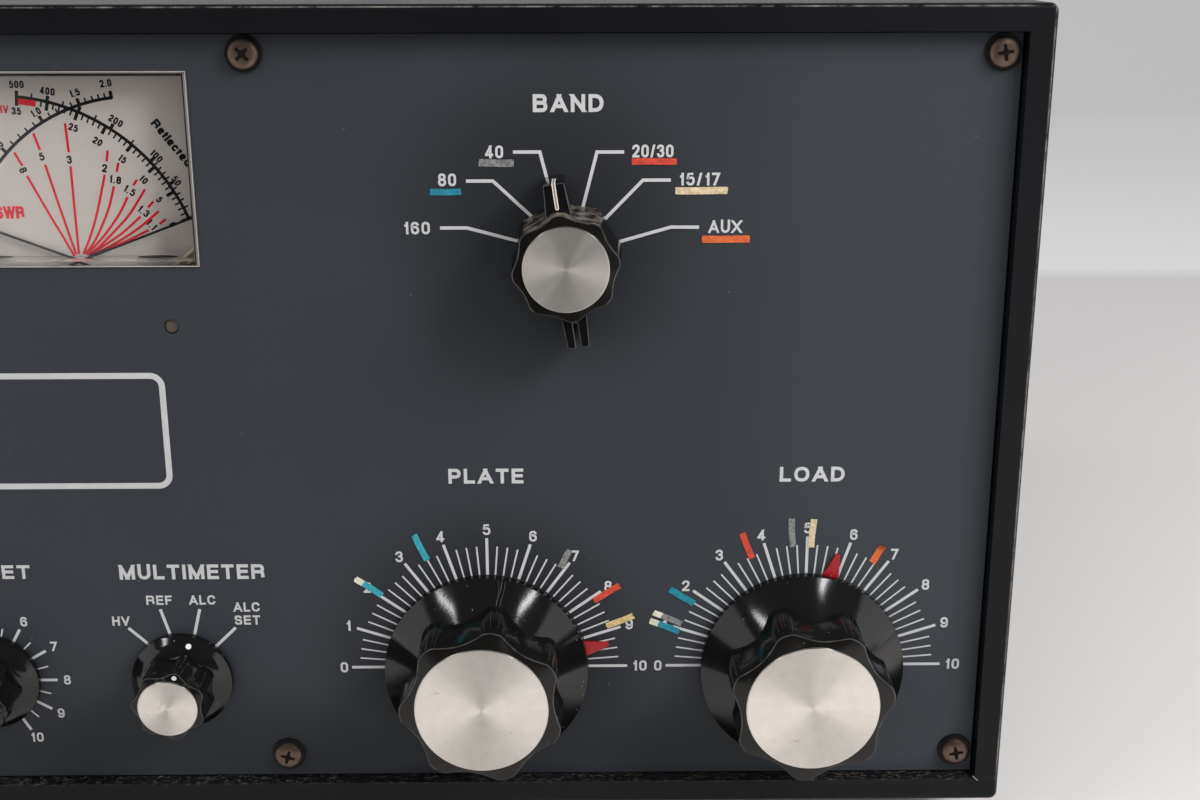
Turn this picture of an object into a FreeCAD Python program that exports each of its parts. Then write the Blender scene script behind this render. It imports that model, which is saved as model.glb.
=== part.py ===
"""HF linear amplifier: a desktop cabinet with one transmitting tube and its own power supply.

Millimetres. +X is to the right of somebody facing the front, +Y runs to the back and +Z up.
The origin lies on the resting surface, under the middle of the whole object.

Places on the front panel are given as x from the cabinet's middle and z from its underside.
Controls are modelled lying down first: x to the right, y up the panel and z out of it, with
z = 0 on the panel's face; on_panel() then stands them up.
"""
import FreeCAD, Part
import math
import os

Vector = FreeCAD.Vector

# ---------------------------------------------------------------- cabinet
cabinet_width = 355.6
cabinet_height = 203.2
cabinet_depth = 355.6
foot_height = 12.7            # underside of the cabinet above the table
sheet = 1.5                   # steel of the cover, pan and frame
lip_width = 6.35              # face of the front frame
edge_radius = 1.4             # bend between the frame's face and its walls
corner_radius = 2.0           # frame's corners seen from the front
frame_depth = 38.1            # front frame, front to back
seam_gap = 0.3                # frame to cover
panel_recess = 4.0            # panel's face behind the frame's face
panel_thickness = 3.2
panel_gap = 0.4               # panel to the recess wall
flange_width = 13.0           # frame's flange behind the panel
pan_flange_height = 30.0
rear_reach = 17.8             # coaxial sockets behind the cabinet
rear_flange = 12.0
slip = 0.1                    # round what passes through a hole

foot_radius = 11.0
foot_tip_radius = 9.5
foot_inset_x = 24.0
front_foot_setback = 18.0     # behind the frame
rear_foot_inset = 30.0        # from the cabinet's back

# cooling slots
slot_width = 3.4
slot_length = 34.0
slot_pitch = 8.4
slot_row_gap = 9.0
top_slots_per_row = 14
side_slots_per_row = 12
side_slot_rise = 70.0         # lower end of the side slots above the cabinet's underside

# ---------------------------------------------------------------- screws
screw_head_radius = 3.15
screw_head_height = 2.0
screw_radius = 1.75
screw_length = 6.5
screw_clearance = 0.15
washer_radius = 4.76          # flat washer under each panel screw
washer_thickness = 0.8
screw_inset = 11.3            # corner screws from the cabinet's sides
screw_drop = 11.1             # upper row from the cabinet's top
screw_rise = 13.0             # lower row from the cabinet's underside
middle_screw_inset = 170.0    # middle screws from the cabinet's left side
cover_screw_rise = 22.0
cover_screw_count = 4
cover_screw_end = 25.0        # first and last cover screw from the cover's ends

# ---------------------------------------------------------------- panel layout
load_inset = 52.6             # LOAD from the cabinet's right side
tuning_pitch = 80.7           # PLATE to LOAD
tuning_z = 37.5
band_inset = 112.0            # BAND from the cabinet's right side
band_drop = 58.1              # and below its top
alc_inset = 94.9              # ALC SET from the cabinet's left side
small_knob_pitch = 49.4       # ALC SET to MULTIMETER
small_knob_z = 35.0
meter_width = 60.8            # opening in the panel
meter_height = 46.0
meter_drop = 60.8             # openings' lower edge below the cabinet's top
meter_gap = 10.1              # between the two openings
rocker_inset = 55.8           # right-hand rocker from the cabinet's left side
rocker_pitch = 28.0
rocker_z = 38.0
lamp_drop = 26.0              # lamp above the rocker's middle
lamp_radius = 2.5
zero_hole_radius = 1.8
zero_hole_drop = 14.6         # below the meter's sill
zero_hole_offset = 22.2       # from the meter's middle

# ---------------------------------------------------------------- shafts and fits
shaft_radius = 3.175
fit = 0.05                    # radial running clearance
bushing_radius = 4.7
nut_radius = 6.4
nut_height = 2.2

# large knobs, PLATE and LOAD
big_knob_lift = 1.3           # back of the skirt off the panel
big_skirt_radius = 26.0
big_skirt_edge = 2.3
big_cone_top = 11.3           # where the grip leaves the cone
big_cone_radius = 17.6
big_lobe_base = 20.8
big_lobe_top = 20.4
big_valley_base = 18.1
big_valley_top = 17.7
big_knob_height = 23.7
big_cap_radius = 16.3
big_lobes = 7
big_hollow_radius = 22.5
big_hollow_depth = 3.5

# small knobs, MULTIMETER and ALC SET
small_knob_lift = 0.9
small_skirt_radius = 12.85
small_skirt_edge = 1.8
small_cone_top = 5.6
small_cone_radius = 8.2
small_lobe_base = 9.5
small_lobe_top = 9.3
small_valley_base = 8.4
small_valley_top = 8.1
small_knob_height = 16.9
small_cap_radius = 7.4
small_lobes = 7
small_hollow_radius = 7.4
small_hollow_depth = 3.4

# pointer-bar knob, BAND
band_knob_lift = 0.8
band_lobe_base = 13.3
band_lobe_top = 12.6
band_valley_base = 12.2
band_valley_top = 11.5
band_knob_height = 17.6
band_cap_radius = 10.0
band_lobes = 8
band_bar_height = 13.8
band_tip_reach = 19.1
band_tail_reach = 19.6
band_bar_tip = 4.85           # width at the pointing end
band_bar_middle = 7.6
band_bar_tail = 5.15          # width at the slotted end
band_tail_slot = 1.1
band_tail_depth = 6.0

crown_share = 0.125            # half a lobe's crown, of the lobe pitch
cap_stand = 0.6               # metal cap above the grip's face
cap_seat = 1.0                # and let into it
cap_chamfer = 0.25

# dial angles, clockwise from straight up
plate_setting = 9.35          # of 10 over half a turn
load_setting = 5.85
dial_span = 180.0
dial_top = 10.0
band_angle = -8.3
multimeter_angle = 15.0
alc_angle = -60.0
plate_knob_angle = 9.0
load_knob_angle = -20.9

# ball drives and dial pointers behind the large knobs
sleeve_radius = 6.0
sleeve_front = 1.0
pointer_back = 0.3
pointer_thickness = 0.7
pointer_hub_radius = 9.0
pointer_reach = 31.9
pointer_arm_width = 5.6
pointer_arm_length = 22.5     # where the arm starts to narrow
pointer_tip_width = 1.0
drive_radius = 15.0
drive_flange_radius = 17.0
drive_flange = 2.0
drive_length = 17.0
sleeve_overrun = 2.0          # slow sleeve behind the drive
coupling_wall = 2.0
shaft_overrun = 2.0           # rotor shaft behind the rear end plate
vane_hub_overrun = 1.0
coupling_length = 9.0

# air-spaced variable capacitors
capacitor_gap = 8.0           # coupling to the front end plate
plate_capacitor_length = 92.0
load_capacitor_length = 112.0
end_plate = 3.0
end_plate_half_width = 34.0
end_plate_rise = 33.0
vane_radius = 28.0
vane_hub_radius = 6.5
vane_thickness = 1.0
vane_pitch = 6.0
vane_clearance = 1.2
stator_radius = 33.0
stator_rod_radius = 1.8
stator_rod_place = 31.0
tie_bar_radius = 3.0
tie_bar_inset = 4.5

# band switch
wafer_radius = 27.0
wafer_thickness = 3.0
wafer_pitch = 30.0
wafer_count = 3
wafer_first = 34.0            # behind the index plate
wafer_rotor_radius = 8.0
switch_rod_radius = 2.0
switch_rod_place = 21.0
index_plate = 6.0
index_half_width = 17.0
index_half_height = 25.0

# multimeter switch and ALC control
small_switch_radius = 15.5
small_switch_body = 9.0
small_wafer_gap = 9.0
small_wafer_thickness = 2.0
small_wafer_radius = 17.0
small_rod_place = 13.0
pot_radius = 12.0
pot_body = 11.0

# meters
window_stand = 0.4            # clear front proud of the panel
window_clearance = 0.15
window_wall = 1.2
window_flange = 1.5
meter_side = 2.6              # case beyond the opening, left, right and above
meter_below = 17.0            # and below it
meter_case_wall = 1.6
meter_notch = 0.5             # room round the cases in the frame's flange
meter_case_depth = 36.0
dial_depth = 7.1              # dial's face behind the panel's face
dial_thickness = 0.6
dial_margin = 1.5
dial_corner = 4.5             # clipped lower corners
needle_pivot_offset = 15.3
needle_pivot_drop = 5.3       # pivots below the opening's lower edge
needle_length = 44.4
needle_tail = 7.0
needle_width = 0.55
needle_thickness = 0.35
needle_hub_radius = 3.4
needle_hub_length = 4.0
needle_rest_angle = 20.6      # above the horizontal
front_needle_depth = 5.4
back_needle_depth = 6.1
movement_radius = 6.5
movement_gap = 0.3

# rocker switches
rocker_width = 11.0
rocker_length = 21.0
rocker_tilt = 8.0             # each way from level
rocker_pivot_depth = 1.5
rocker_rise = 3.2             # ends above the panel when level
rocker_dip = 1.2              # middle above the panel
rocker_root = 2.6             # lower corners behind the panel
rocker_gap = 0.35
bezel_width = 15.6
bezel_height = 28.4
bezel_thickness = 1.6
rocker_body_width = 13.4
rocker_body_height = 26.0
rocker_body_depth = 24.0
rocker_pin_radius = 1.2

# ---------------------------------------------------------------- inside
deck_height = 34.0            # tube deck above the pan
deck_sheet = 2.0
deck_depth = 157.05           # deck's front edge from the cabinet's back
deck_leg_inset = 5.0          # clear of the cover screws
wall_gap = 11.0               # folded-up wall from the transformer
wall_top_gap = 4.0
tube_inset = 85.8             # tube from the cabinet's right side
tube_setback = 87.05          # and from its back
tube_radius = 43.0
tube_wall = 1.6
tube_base_radius = 33.0
tube_base_height = 16.0
tube_headroom = 29.7          # top of the glass below the ceiling
tube_shoulder = 20.0
tube_neck_radius = 8.0
tube_neck_height = 9.0
anode_radius = 24.0
anode_height = 58.0
anode_rise = 22.0
anode_stem_radius = 3.2
socket_radius = 36.0
socket_depth = 14.0
socket_lip = 3.0
cooler_radius = 13.5
cooler_fin = 1.4
cooler_fins = 5
cooler_height = 17.0
cooler_core_radius = 6.5
cooler_rise = 2.5             # above the bulb's neck
coil_radius = 27.0
coil_wire = 2.4
coil_pitch = 9.5
coil_turns = 7.0
coil_flats = 8                # sides of the drawn conductor
coil_inset = 93.8             # coil's left end from the cabinet's right side
coil_ahead = 27.0             # coil's middle in front of the deck
coil_drop = 65.2              # and below the cabinet's top
coil_stay = 6.0               # thickness of the insulating stay behind the coil
coil_stay_rise = 12.0         # stay above the coil's middle
transformer_width = 122.0
transformer_height = 102.0
transformer_stack = 66.0
transformer_inset = 79.8      # transformer from the cabinet's left side
transformer_setback = 89.05   # and from its back
transformer_window_width = 24.0
transformer_leg = 37.0
transformer_yoke = 19.0
winding_overhang = 22.0
winding_gap = 1.0
transformer_foot = 3.0
transformer_foot_width = 44.0
transformer_foot_reach = 9.0  # feet beyond the stack, front and back
transformer_foot_place = 0.62  # of half the width
board_thickness = 1.6
board_height = 20.0
board_width = 98.0
board_inset = 77.8            # board's middle from the cabinet's left side
board_front_gap = 46.55       # board behind the panel's face
board_back_gap = 5.0          # board in front of the windings
capacitor_radius = 17.5
capacitor_height = 52.0
capacitor_columns = 2
capacitor_pitch_x = 46.0
capacitor_pitch_y = 38.0
stand_off_radius = 4.0
stand_off_inset = 6.0
relay_width = 32.0
relay_depth = 26.0
relay_height = 30.0
relay_inset = 37.8            # relay from the cabinet's right side
relay_setback = 59.05         # and from its back

# ---------------------------------------------------------------- rear panel
fan_size = 80.0
fan_depth = 25.0
fan_inset = 85.8              # fan from the cabinet's right side
fan_z = 104.0
fan_bore_radius = 38.0
fan_rotor_radius = 36.6
fan_hub_radius = 16.0
fan_blades = 7
fan_blade_thickness = 1.4
fan_blade_angle = 38.0
fan_strut = 3.0
fan_pin_radius = 1.5
guard_hole_radius = 2.9
guard_rings = 4
guard_ring_pitch = 9.0
rear_row_z = 21.0             # sockets above the cabinet's underside
rf_in_x = 36.0
rf_out_inset = 31.8           # output socket from the cabinet's right side
coax_flange = 25.4
coax_flange_thickness = 1.6
coax_radius = 7.94
coax_bore_radius = 5.6
coax_pin_bore = 2.0
coax_tail = 12.0
coax_body_radius = 7.0
jack_first_x = 68.0
jack_pitch = 26.0
jack_radius = 4.15
jack_bore_radius = 1.6
jack_length = 9.0
jack_flange_radius = 7.0
post_x = 5.0
post_radius = 2.4
post_length = 14.0
wing_hub_radius = 4.6
wing_span = 12.0
wing_height = 7.0
wing_thickness = 2.2
fuse_first_x = -92.0
fuse_pitch = 30.0
fuse_radius = 7.6
fuse_cap_radius = 8.6
fuse_cap_length = 10.0
fuse_flange_radius = 10.5
fuse_tail = 30.0
gland_inset = 25.8            # gland from the cabinet's left side
gland_radius = 9.0
gland_flange_radius = 12.0
gland_bore_radius = 4.3
gland_length = 12.0
gland_tail = 9.0

# ---------------------------------------------------------------- worked-out places
overall_depth = (big_knob_height + cap_stand - panel_recess) + cabinet_depth + rear_reach
lip_y = -overall_depth / 2 + big_knob_height + cap_stand - panel_recess
rear_y = lip_y + cabinet_depth
panel_y = lip_y + panel_recess
panel_back_y = panel_y + panel_thickness
flange_y = panel_back_y
behind_flange_y = flange_y + sheet
seam_y = lip_y + frame_depth + seam_gap
half_width = cabinet_width / 2
inner_half_width = half_width - sheet
base_z = foot_height
top_z = foot_height + cabinet_height
pan_z = base_z + sheet
pan_top_z = pan_z + sheet
ceiling_z = top_z - sheet
opening_half_width = half_width - lip_width
deck_top_z = pan_top_z + deck_height
middle_screw_x = middle_screw_inset - half_width
load_x = half_width - load_inset
plate_x = load_x - tuning_pitch
band_x = half_width - band_inset
band_z = cabinet_height - band_drop
alc_x = alc_inset - half_width
multimeter_x = alc_x + small_knob_pitch
rocker_x = rocker_inset - half_width
meter_sill_z = cabinet_height - meter_drop
meter_mid_x = (-(half_width - screw_inset) + middle_screw_x) / 2
right_meter_x = meter_mid_x + (meter_width + meter_gap) / 2
left_meter_x = meter_mid_x - (meter_width + meter_gap) / 2
needle_pivot_z = meter_sill_z - needle_pivot_drop
deck_front_y = rear_y - deck_depth
tube_x = half_width - tube_inset
tube_y = rear_y - tube_setback
tube_bulb_height = (ceiling_z - tube_headroom - deck_top_z - socket_lip - tube_base_height
                    - tube_shoulder)
coil_x = half_width - coil_inset
coil_y = deck_front_y - coil_ahead
coil_z = cabinet_height - coil_drop
transformer_x = transformer_inset - half_width
transformer_y = rear_y - transformer_setback
wall_x = transformer_x + transformer_width / 2 + wall_gap
board_x = board_inset - half_width
board_front_y = panel_y + board_front_gap
board_back_y = transformer_y - transformer_stack / 2 - winding_overhang - board_back_gap
board_y = (board_front_y + board_back_y) / 2
board_length = board_back_y - board_front_y
capacitor_rows = int(board_length / capacitor_pitch_y)
relay_x = half_width - relay_inset
relay_y = rear_y - relay_setback
fan_x = half_width - fan_inset
rf_out_x = half_width - rf_out_inset
gland_x = gland_inset - half_width
flush = 2 * panel_thickness + 10.0     # length of a tool that cuts right through the panel


# ---------------------------------------------------------------- helpers
def box(x0, x1, y0, y1, z0, z1):
    """Block between two corners."""
    return Part.makeBox(x1 - x0, y1 - y0, z1 - z0, Vector(x0, y0, z0))


def rod(radius, z0, z1, x=0.0, y=0.0):
    """Cylinder along z, in a control's own lying-down frame."""
    return Part.makeCylinder(radius, z1 - z0, Vector(x, y, z0))


def rod_y(radius, y0, y1, x, z):
    """Cylinder from front to back of the cabinet."""
    return Part.makeCylinder(radius, y1 - y0, Vector(x, y0, z), Vector(0, 1, 0))


def rod_z(radius, z0, z1, x, y):
    """Upright cylinder in the cabinet."""
    return Part.makeCylinder(radius, z1 - z0, Vector(x, y, z0))


def ring(outer, inner, z0, z1):
    """Flat ring or tube along z."""
    return rod(outer, z0, z1).cut(rod(inner, z0 - 1, z1 + 1))


def fuse_all(shapes):
    """One solid from shapes that touch or overlap."""
    first, rest = shapes[0], shapes[1:]
    return (first.fuse(rest) if rest else first).removeSplitter()


def lathe(points):
    """Solid of revolution about z from (radius, height) points."""
    corners = [Vector(r, 0, z) for r, z in points]
    face = Part.Face(Part.makePolygon(corners + [corners[0]]))
    return face.revolve(Vector(0, 0, 0), Vector(0, 0, 1), 360)


def turned(shape, clockwise):
    """Turn a lying-down control clockwise, as seen from the front."""
    out = shape.copy()
    out.rotate(Vector(0, 0, 0), Vector(0, 0, 1), -clockwise)
    return out


def on_panel(shape, x, z):
    """Stand a lying-down control up on the panel's face at x, z."""
    out = shape.copy()
    out.rotate(Vector(0, 0, 0), Vector(1, 0, 0), 90)
    out.translate(Vector(x, panel_y, base_z + z))
    return out


def on_rear(shape, x, z):
    """Stand a lying-down fitting up on the back of the rear panel."""
    out = shape.copy()
    out.rotate(Vector(0, 0, 0), Vector(1, 0, 0), -90)
    out.translate(Vector(x, rear_y, base_z + z))
    return out


def save(name, *shapes):
    """Write one node, a single solid or a group of separate solids."""
    solids = [solid for shape in shapes for solid in shape.Solids]
    shape = solids[0] if len(solids) == 1 else Part.makeCompound(solids)
    bad = [solid for solid in solids if not solid.isValid() or solid.Volume <= 0]
    note = "  INVALID" if bad else ""
    print(f"{name:26s} {len(solids):3d} solids {shape.Volume / 1000:9.2f} cm3{note}")
    shape.exportStep(f"parts/{name}.step")


def lobe_wire(lobes, peak, valley, height):
    """Closed outline of a fluted grip: rounded lobes with hollow flutes between them."""
    step = 2 * math.pi / lobes
    crown = step * crown_share

    def at(radius, angle):
        return Vector(radius * math.sin(angle), radius * math.cos(angle), height)

    edges = []
    for index in range(lobes):
        middle = index * step
        left, right = middle - crown, middle + crown
        shoulder = peak - (peak - valley) * 0.12
        edges.append(Part.Arc(at(shoulder, left), at(peak, middle), at(shoulder, right)).toShape())
        nearest = at(valley, middle + step / 2)
        edges.append(Part.Arc(at(shoulder, right), nearest, at(shoulder, middle + step - crown)).toShape())
    return Part.Wire(edges)


def fluted_grip(lobes, base, top, z0, z1):
    """Fluted grip with a slight draft; base and top are (peak, valley) radii."""
    lower = lobe_wire(lobes, base[0], base[1], z0)
    upper = lobe_wire(lobes, top[0], top[1], z1)
    return Part.makeLoft([lower, upper], True, True)


def knob_cap(radius, grip_face):
    """Metal disc let into the grip's face, with a broken front edge."""
    back, front = grip_face - cap_seat, grip_face + cap_stand
    return lathe([(0, back), (radius, back), (radius, front - cap_chamfer),
                  (radius - cap_chamfer, front), (0, front)])


def skirted_knob(lift, skirt, edge, cone_top, cone, grip_base, grip_top, height, lobes,
                 cap_radius, hollow_radius, hollow_depth):
    """Knob with a conical skirt and a fluted grip, bored for its shaft."""
    rim = lift + edge
    shell = lathe([(0, lift), (skirt, lift), (skirt, rim), (cone, cone_top), (0, cone_top)])
    inside = min(cone, grip_base[1]) - 1.0
    grip = fluted_grip(lobes, grip_base, grip_top, cone_top - (cone_top - rim) * 0.3, height)
    core = rod(inside, lift, height)
    body = fuse_all([shell, grip, core])
    hollow = rod(hollow_radius, lift - 1, lift + hollow_depth)
    bore = rod(shaft_radius + fit, lift - 1, height - cap_seat - 1.5)
    seat = rod(cap_radius + fit, height - cap_seat, height + 1)
    return body.cut(hollow).cut(bore).cut(seat)


def knob_shaft(front, back):
    """Plain control shaft."""
    return rod(shaft_radius, back, front)


# ---------------------------------------------------------------- cabinet pieces
def rounded_prism(half_x, z0, z1, y0, y1, radius):
    """Block along y whose four long edges are rounded."""
    block = box(-half_x, half_x, y0, y1, z0, z1)
    long_edges = [e for e in block.Edges if abs(e.tangentAt(e.FirstParameter).y) > 0.9]
    return block.makeFillet(radius, long_edges)


def front_frame():
    """Folded and welded frame round the panel: walls, face, recess walls and inner flange."""
    outside = rounded_prism(half_width, base_z, top_z, lip_y, lip_y + frame_depth, corner_radius)
    front_edges = [e for e in outside.Edges
                   if all(abs(v.Point.y - lip_y) < 1e-6 for v in e.Vertexes)]
    outside = outside.makeFillet(edge_radius, front_edges)
    inside = box(-inner_half_width, inner_half_width, lip_y + sheet, rear_y,
                 base_z + sheet, top_z - sheet)
    shell = outside.cut(inside)
    recess_out = opening_half_width + sheet
    low, high = base_z + lip_width, top_z - lip_width
    recess = box(-recess_out, recess_out, lip_y + sheet, behind_flange_y,
                 low - sheet, high + sheet)
    shell = shell.fuse(recess)
    through = box(-opening_half_width, opening_half_width, lip_y - 1, panel_back_y, low, high)
    hole = box(-(opening_half_width - flange_width), opening_half_width - flange_width,
               lip_y, rear_y, low + flange_width, high - flange_width)
    room = meter_width / 2 + meter_side + meter_notch
    notch = box(left_meter_x - room, right_meter_x + room, flange_y, behind_flange_y + 1,
                base_z + meter_sill_z, base_z + meter_sill_z + meter_height + meter_side + meter_notch)
    shell = shell.cut(through).cut(hole).cut(notch)
    for x, z in screw_places():
        shell = shell.cut(rod_y(screw_radius, flange_y - 1, behind_flange_y + 1, x, base_z + z))
    return shell.removeSplitter()


def screw_places():
    """The panel's six screws: x from the middle, z from the cabinet's underside."""
    columns = [-(half_width - screw_inset), middle_screw_x, half_width - screw_inset]
    rows = [screw_rise, cabinet_height - screw_drop]
    return [(x, z) for z in rows for x in columns]


def rounded_slot(length, width, z0, z1):
    """Slot tool along y, round at both ends."""
    straight = length / 2 - width / 2
    return fuse_all([box(-width / 2, width / 2, -straight, straight, z0, z1),
                     rod(width / 2, z0, z1, 0, straight), rod(width / 2, z0, z1, 0, -straight)])


def slot_block(columns, rows, z0, z1):
    """Rows of parallel cooling slots, centred on the origin."""
    tool = rounded_slot(slot_length, slot_width, z0, z1)
    out = []
    for row in range(rows):
        for column in range(columns):
            one = tool.copy()
            one.translate(Vector((column - (columns - 1) / 2) * slot_pitch,
                                 (row - (rows - 1) / 2) * (slot_length + slot_row_gap), 0))
            out.append(one)
    return Part.makeCompound(out)


def cover_screw_ys():
    """Screws along the cover's lower edges, evenly spread."""
    first, last = seam_y + cover_screw_end, rear_y - cover_screw_end
    step = (last - first) / (cover_screw_count - 1)
    return [first + index * step for index in range(cover_screw_count)]


def cabinet_cover():
    """Wrap-round cover, top and sides in one folded sheet, with slots over the hot parts."""
    outside = rounded_prism(half_width, base_z, top_z, seam_y, rear_y, corner_radius)
    inside = box(-inner_half_width, inner_half_width, seam_y - 1, rear_y + 1, base_z - 1, ceiling_z)
    cover = outside.cut(inside)
    for x in (transformer_x, tube_x):
        tool = slot_block(top_slots_per_row, 2, ceiling_z - 2, top_z + 2)
        tool.translate(Vector(x, (transformer_y + tube_y) / 2, 0))
        cover = cover.cut(tool)
    side = slot_block(side_slots_per_row, 1, -sheet * 2, sheet * 2)
    side.rotate(Vector(0, 0, 0), Vector(0, 0, 1), 90)
    side.rotate(Vector(0, 0, 0), Vector(0, 1, 0), 90)
    side.rotate(Vector(0, 0, 0), Vector(1, 0, 0), 90)
    for sign in (-1, 1):
        tool = side.copy()
        tool.translate(Vector(sign * (half_width - sheet / 2), (transformer_y + tube_y) / 2,
                              base_z + side_slot_rise + slot_length / 2))
        cover = cover.cut(tool)
        for y in cover_screw_ys():
            hole = Part.makeCylinder(screw_radius + screw_clearance, 4 * sheet,
                                     Vector(sign * half_width - 2 * sheet, y,
                                            base_z + cover_screw_rise), Vector(1, 0, 0))
            cover = cover.cut(hole)
    return cover


def bottom_pan():
    """Floor of the cabinet with a flange up each side, inside the frame and the cover."""
    wide = inner_half_width
    tray = box(-wide, wide, behind_flange_y, rear_y, pan_z, pan_z + pan_flange_height)
    tray = tray.cut(box(-(wide - sheet), wide - sheet, behind_flange_y - 1, rear_y + 1,
                        pan_top_z, top_z))
    for sign in (-1, 1):
        for y in cover_screw_ys():
            tray = tray.cut(Part.makeCylinder(screw_radius, 6 * sheet,
                                              Vector(sign * half_width - 3 * sheet, y,
                                                     base_z + cover_screw_rise), Vector(1, 0, 0)))
    return tray


def pan_head_screw():
    """Cross-recessed pan-head screw: its head stands on z = 0 and its thread goes down."""
    head = lathe([(0, 0), (screw_head_radius, 0), (screw_head_radius, screw_head_height * 0.45),
                  (screw_head_radius * 0.86, screw_head_height * 0.8),
                  (screw_head_radius * 0.5, screw_head_height), (0, screw_head_height)])
    thread = rod(screw_radius, -screw_length, 0)
    depth = screw_head_height * 0.35
    blade, reach = 0.62, 1.75
    cross = box(-blade, blade, -reach, reach, depth, 2 * screw_head_height)
    cross = cross.fuse(box(-reach, reach, -blade, blade, depth, 2 * screw_head_height))
    return head.fuse(thread).cut(cross).removeSplitter()


def case_screws():
    """Six screws with washers in the front panel and a row of screws along each side."""
    screw = pan_head_screw()
    washer = ring(washer_radius, screw_radius, 0, washer_thickness)
    out = []
    for x, z in screw_places():
        seated = screw.copy()
        seated.translate(Vector(0, 0, washer_thickness))
        out.append(on_panel(seated, x, z))
        out.append(on_panel(washer, x, z))
    for sign in (-1, 1):
        for y in cover_screw_ys():
            side = screw.copy()
            side.rotate(Vector(0, 0, 0), Vector(0, 1, 0), 90 * sign)
            side.translate(Vector(sign * half_width, y, base_z + cover_screw_rise))
            out.append(side)
    return out


def rubber_feet():
    """Four tapered rubber feet under the pan."""
    foot = lathe([(0, 0), (foot_tip_radius, 0), (foot_radius, foot_height), (foot_radius, pan_z),
                  (0, pan_z)])
    out = []
    for x in (-(half_width - foot_inset_x), half_width - foot_inset_x):
        for y in (seam_y + front_foot_setback, rear_y - rear_foot_inset):
            one = foot.copy()
            one.translate(Vector(x, y, 0))
            out.append(one)
    return out


def meter_xs():
    """Middles of the two meters, left then right."""
    return [left_meter_x, right_meter_x]


def rocker_xs():
    """Middles of the two rocker switches, left then right."""
    return [rocker_x - rocker_pitch, rocker_x]


def front_panel():
    """Painted panel with its meter openings, control holes and screw holes."""
    wide = opening_half_width - panel_gap
    low = base_z + lip_width + panel_gap
    high = top_z - lip_width - panel_gap
    panel = box(-wide, wide, panel_y, panel_back_y, low, high)
    tools = []
    for x in meter_xs():
        sill = base_z + meter_sill_z
        tools.append(box(x - meter_width / 2, x + meter_width / 2, panel_y - 1, panel_back_y + 1,
                         sill, sill + meter_height))
        for side in (-1, 1):
            tools.append(on_panel(rod(zero_hole_radius, -flush, flush),
                                  x + side * zero_hole_offset, meter_sill_z - zero_hole_drop))
    for x in (plate_x, load_x):
        tools.append(on_panel(rod(sleeve_radius + 1.0, -flush, flush), x, tuning_z))
    for x, z in ((band_x, band_z), (multimeter_x, small_knob_z), (alc_x, small_knob_z)):
        tools.append(on_panel(rod(bushing_radius + slip, -flush, flush), x, z))
    for x in rocker_xs():
        tools.append(on_panel(box(-(rocker_body_width / 2 + slip), rocker_body_width / 2 + slip,
                                  -(rocker_body_height / 2 + slip), rocker_body_height / 2 + slip,
                                  -flush, flush), x, rocker_z))
        tools.append(on_panel(rod(lamp_radius + slip, -flush, flush), x, rocker_z + lamp_drop))
    for x, z in screw_places():
        tools.append(on_panel(rod(screw_radius + screw_clearance, -flush, flush), x, z))
    return panel.cut(tools)


def rear_panel():
    """Rear sheet with a folded edge all round, socket holes and the fan's grille."""
    wide = inner_half_width - sheet
    low, high = pan_top_z, ceiling_z
    tray = box(-wide, wide, rear_y - rear_flange, rear_y, low, high)
    tray = tray.cut(box(-(wide - sheet), wide - sheet, rear_y - rear_flange - 1, rear_y - sheet,
                        low + sheet, high - sheet))
    tools = []
    for ring_index in range(guard_rings):
        radius = guard_ring_pitch * ring_index
        count = max(1, 6 * ring_index)
        for index in range(count):
            angle = 2 * math.pi * index / count
            tools.append(on_rear(rod(guard_hole_radius, -sheet - 1, 1, radius * math.sin(angle),
                                     radius * math.cos(angle)), fan_x, fan_z))
    holes = [(x, coax_body_radius + slip) for x in (rf_in_x, rf_out_x)]
    holes += [(x, jack_radius) for x in jack_xs()]
    holes += [(x, fuse_radius) for x in fuse_xs()]
    holes += [(post_x, post_radius + slip), (gland_x, gland_radius)]
    for x, radius in holes:
        tools.append(on_rear(rod(radius, -sheet - 1, 1), x, rear_row_z))
    return tray.cut(tools)


# ---------------------------------------------------------------- knobs and shafts
def big_knob():
    """PLATE or LOAD knob."""
    return skirted_knob(big_knob_lift, big_skirt_radius, big_skirt_edge, big_cone_top,
                        big_cone_radius, (big_lobe_base, big_valley_base),
                        (big_lobe_top, big_valley_top), big_knob_height, big_lobes,
                        big_cap_radius, big_hollow_radius, big_hollow_depth)


def small_knob():
    """MULTIMETER or ALC SET knob."""
    return skirted_knob(small_knob_lift, small_skirt_radius, small_skirt_edge, small_cone_top,
                        small_cone_radius, (small_lobe_base, small_valley_base),
                        (small_lobe_top, small_valley_top), small_knob_height, small_lobes,
                        small_cap_radius, small_hollow_radius, small_hollow_depth)


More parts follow.
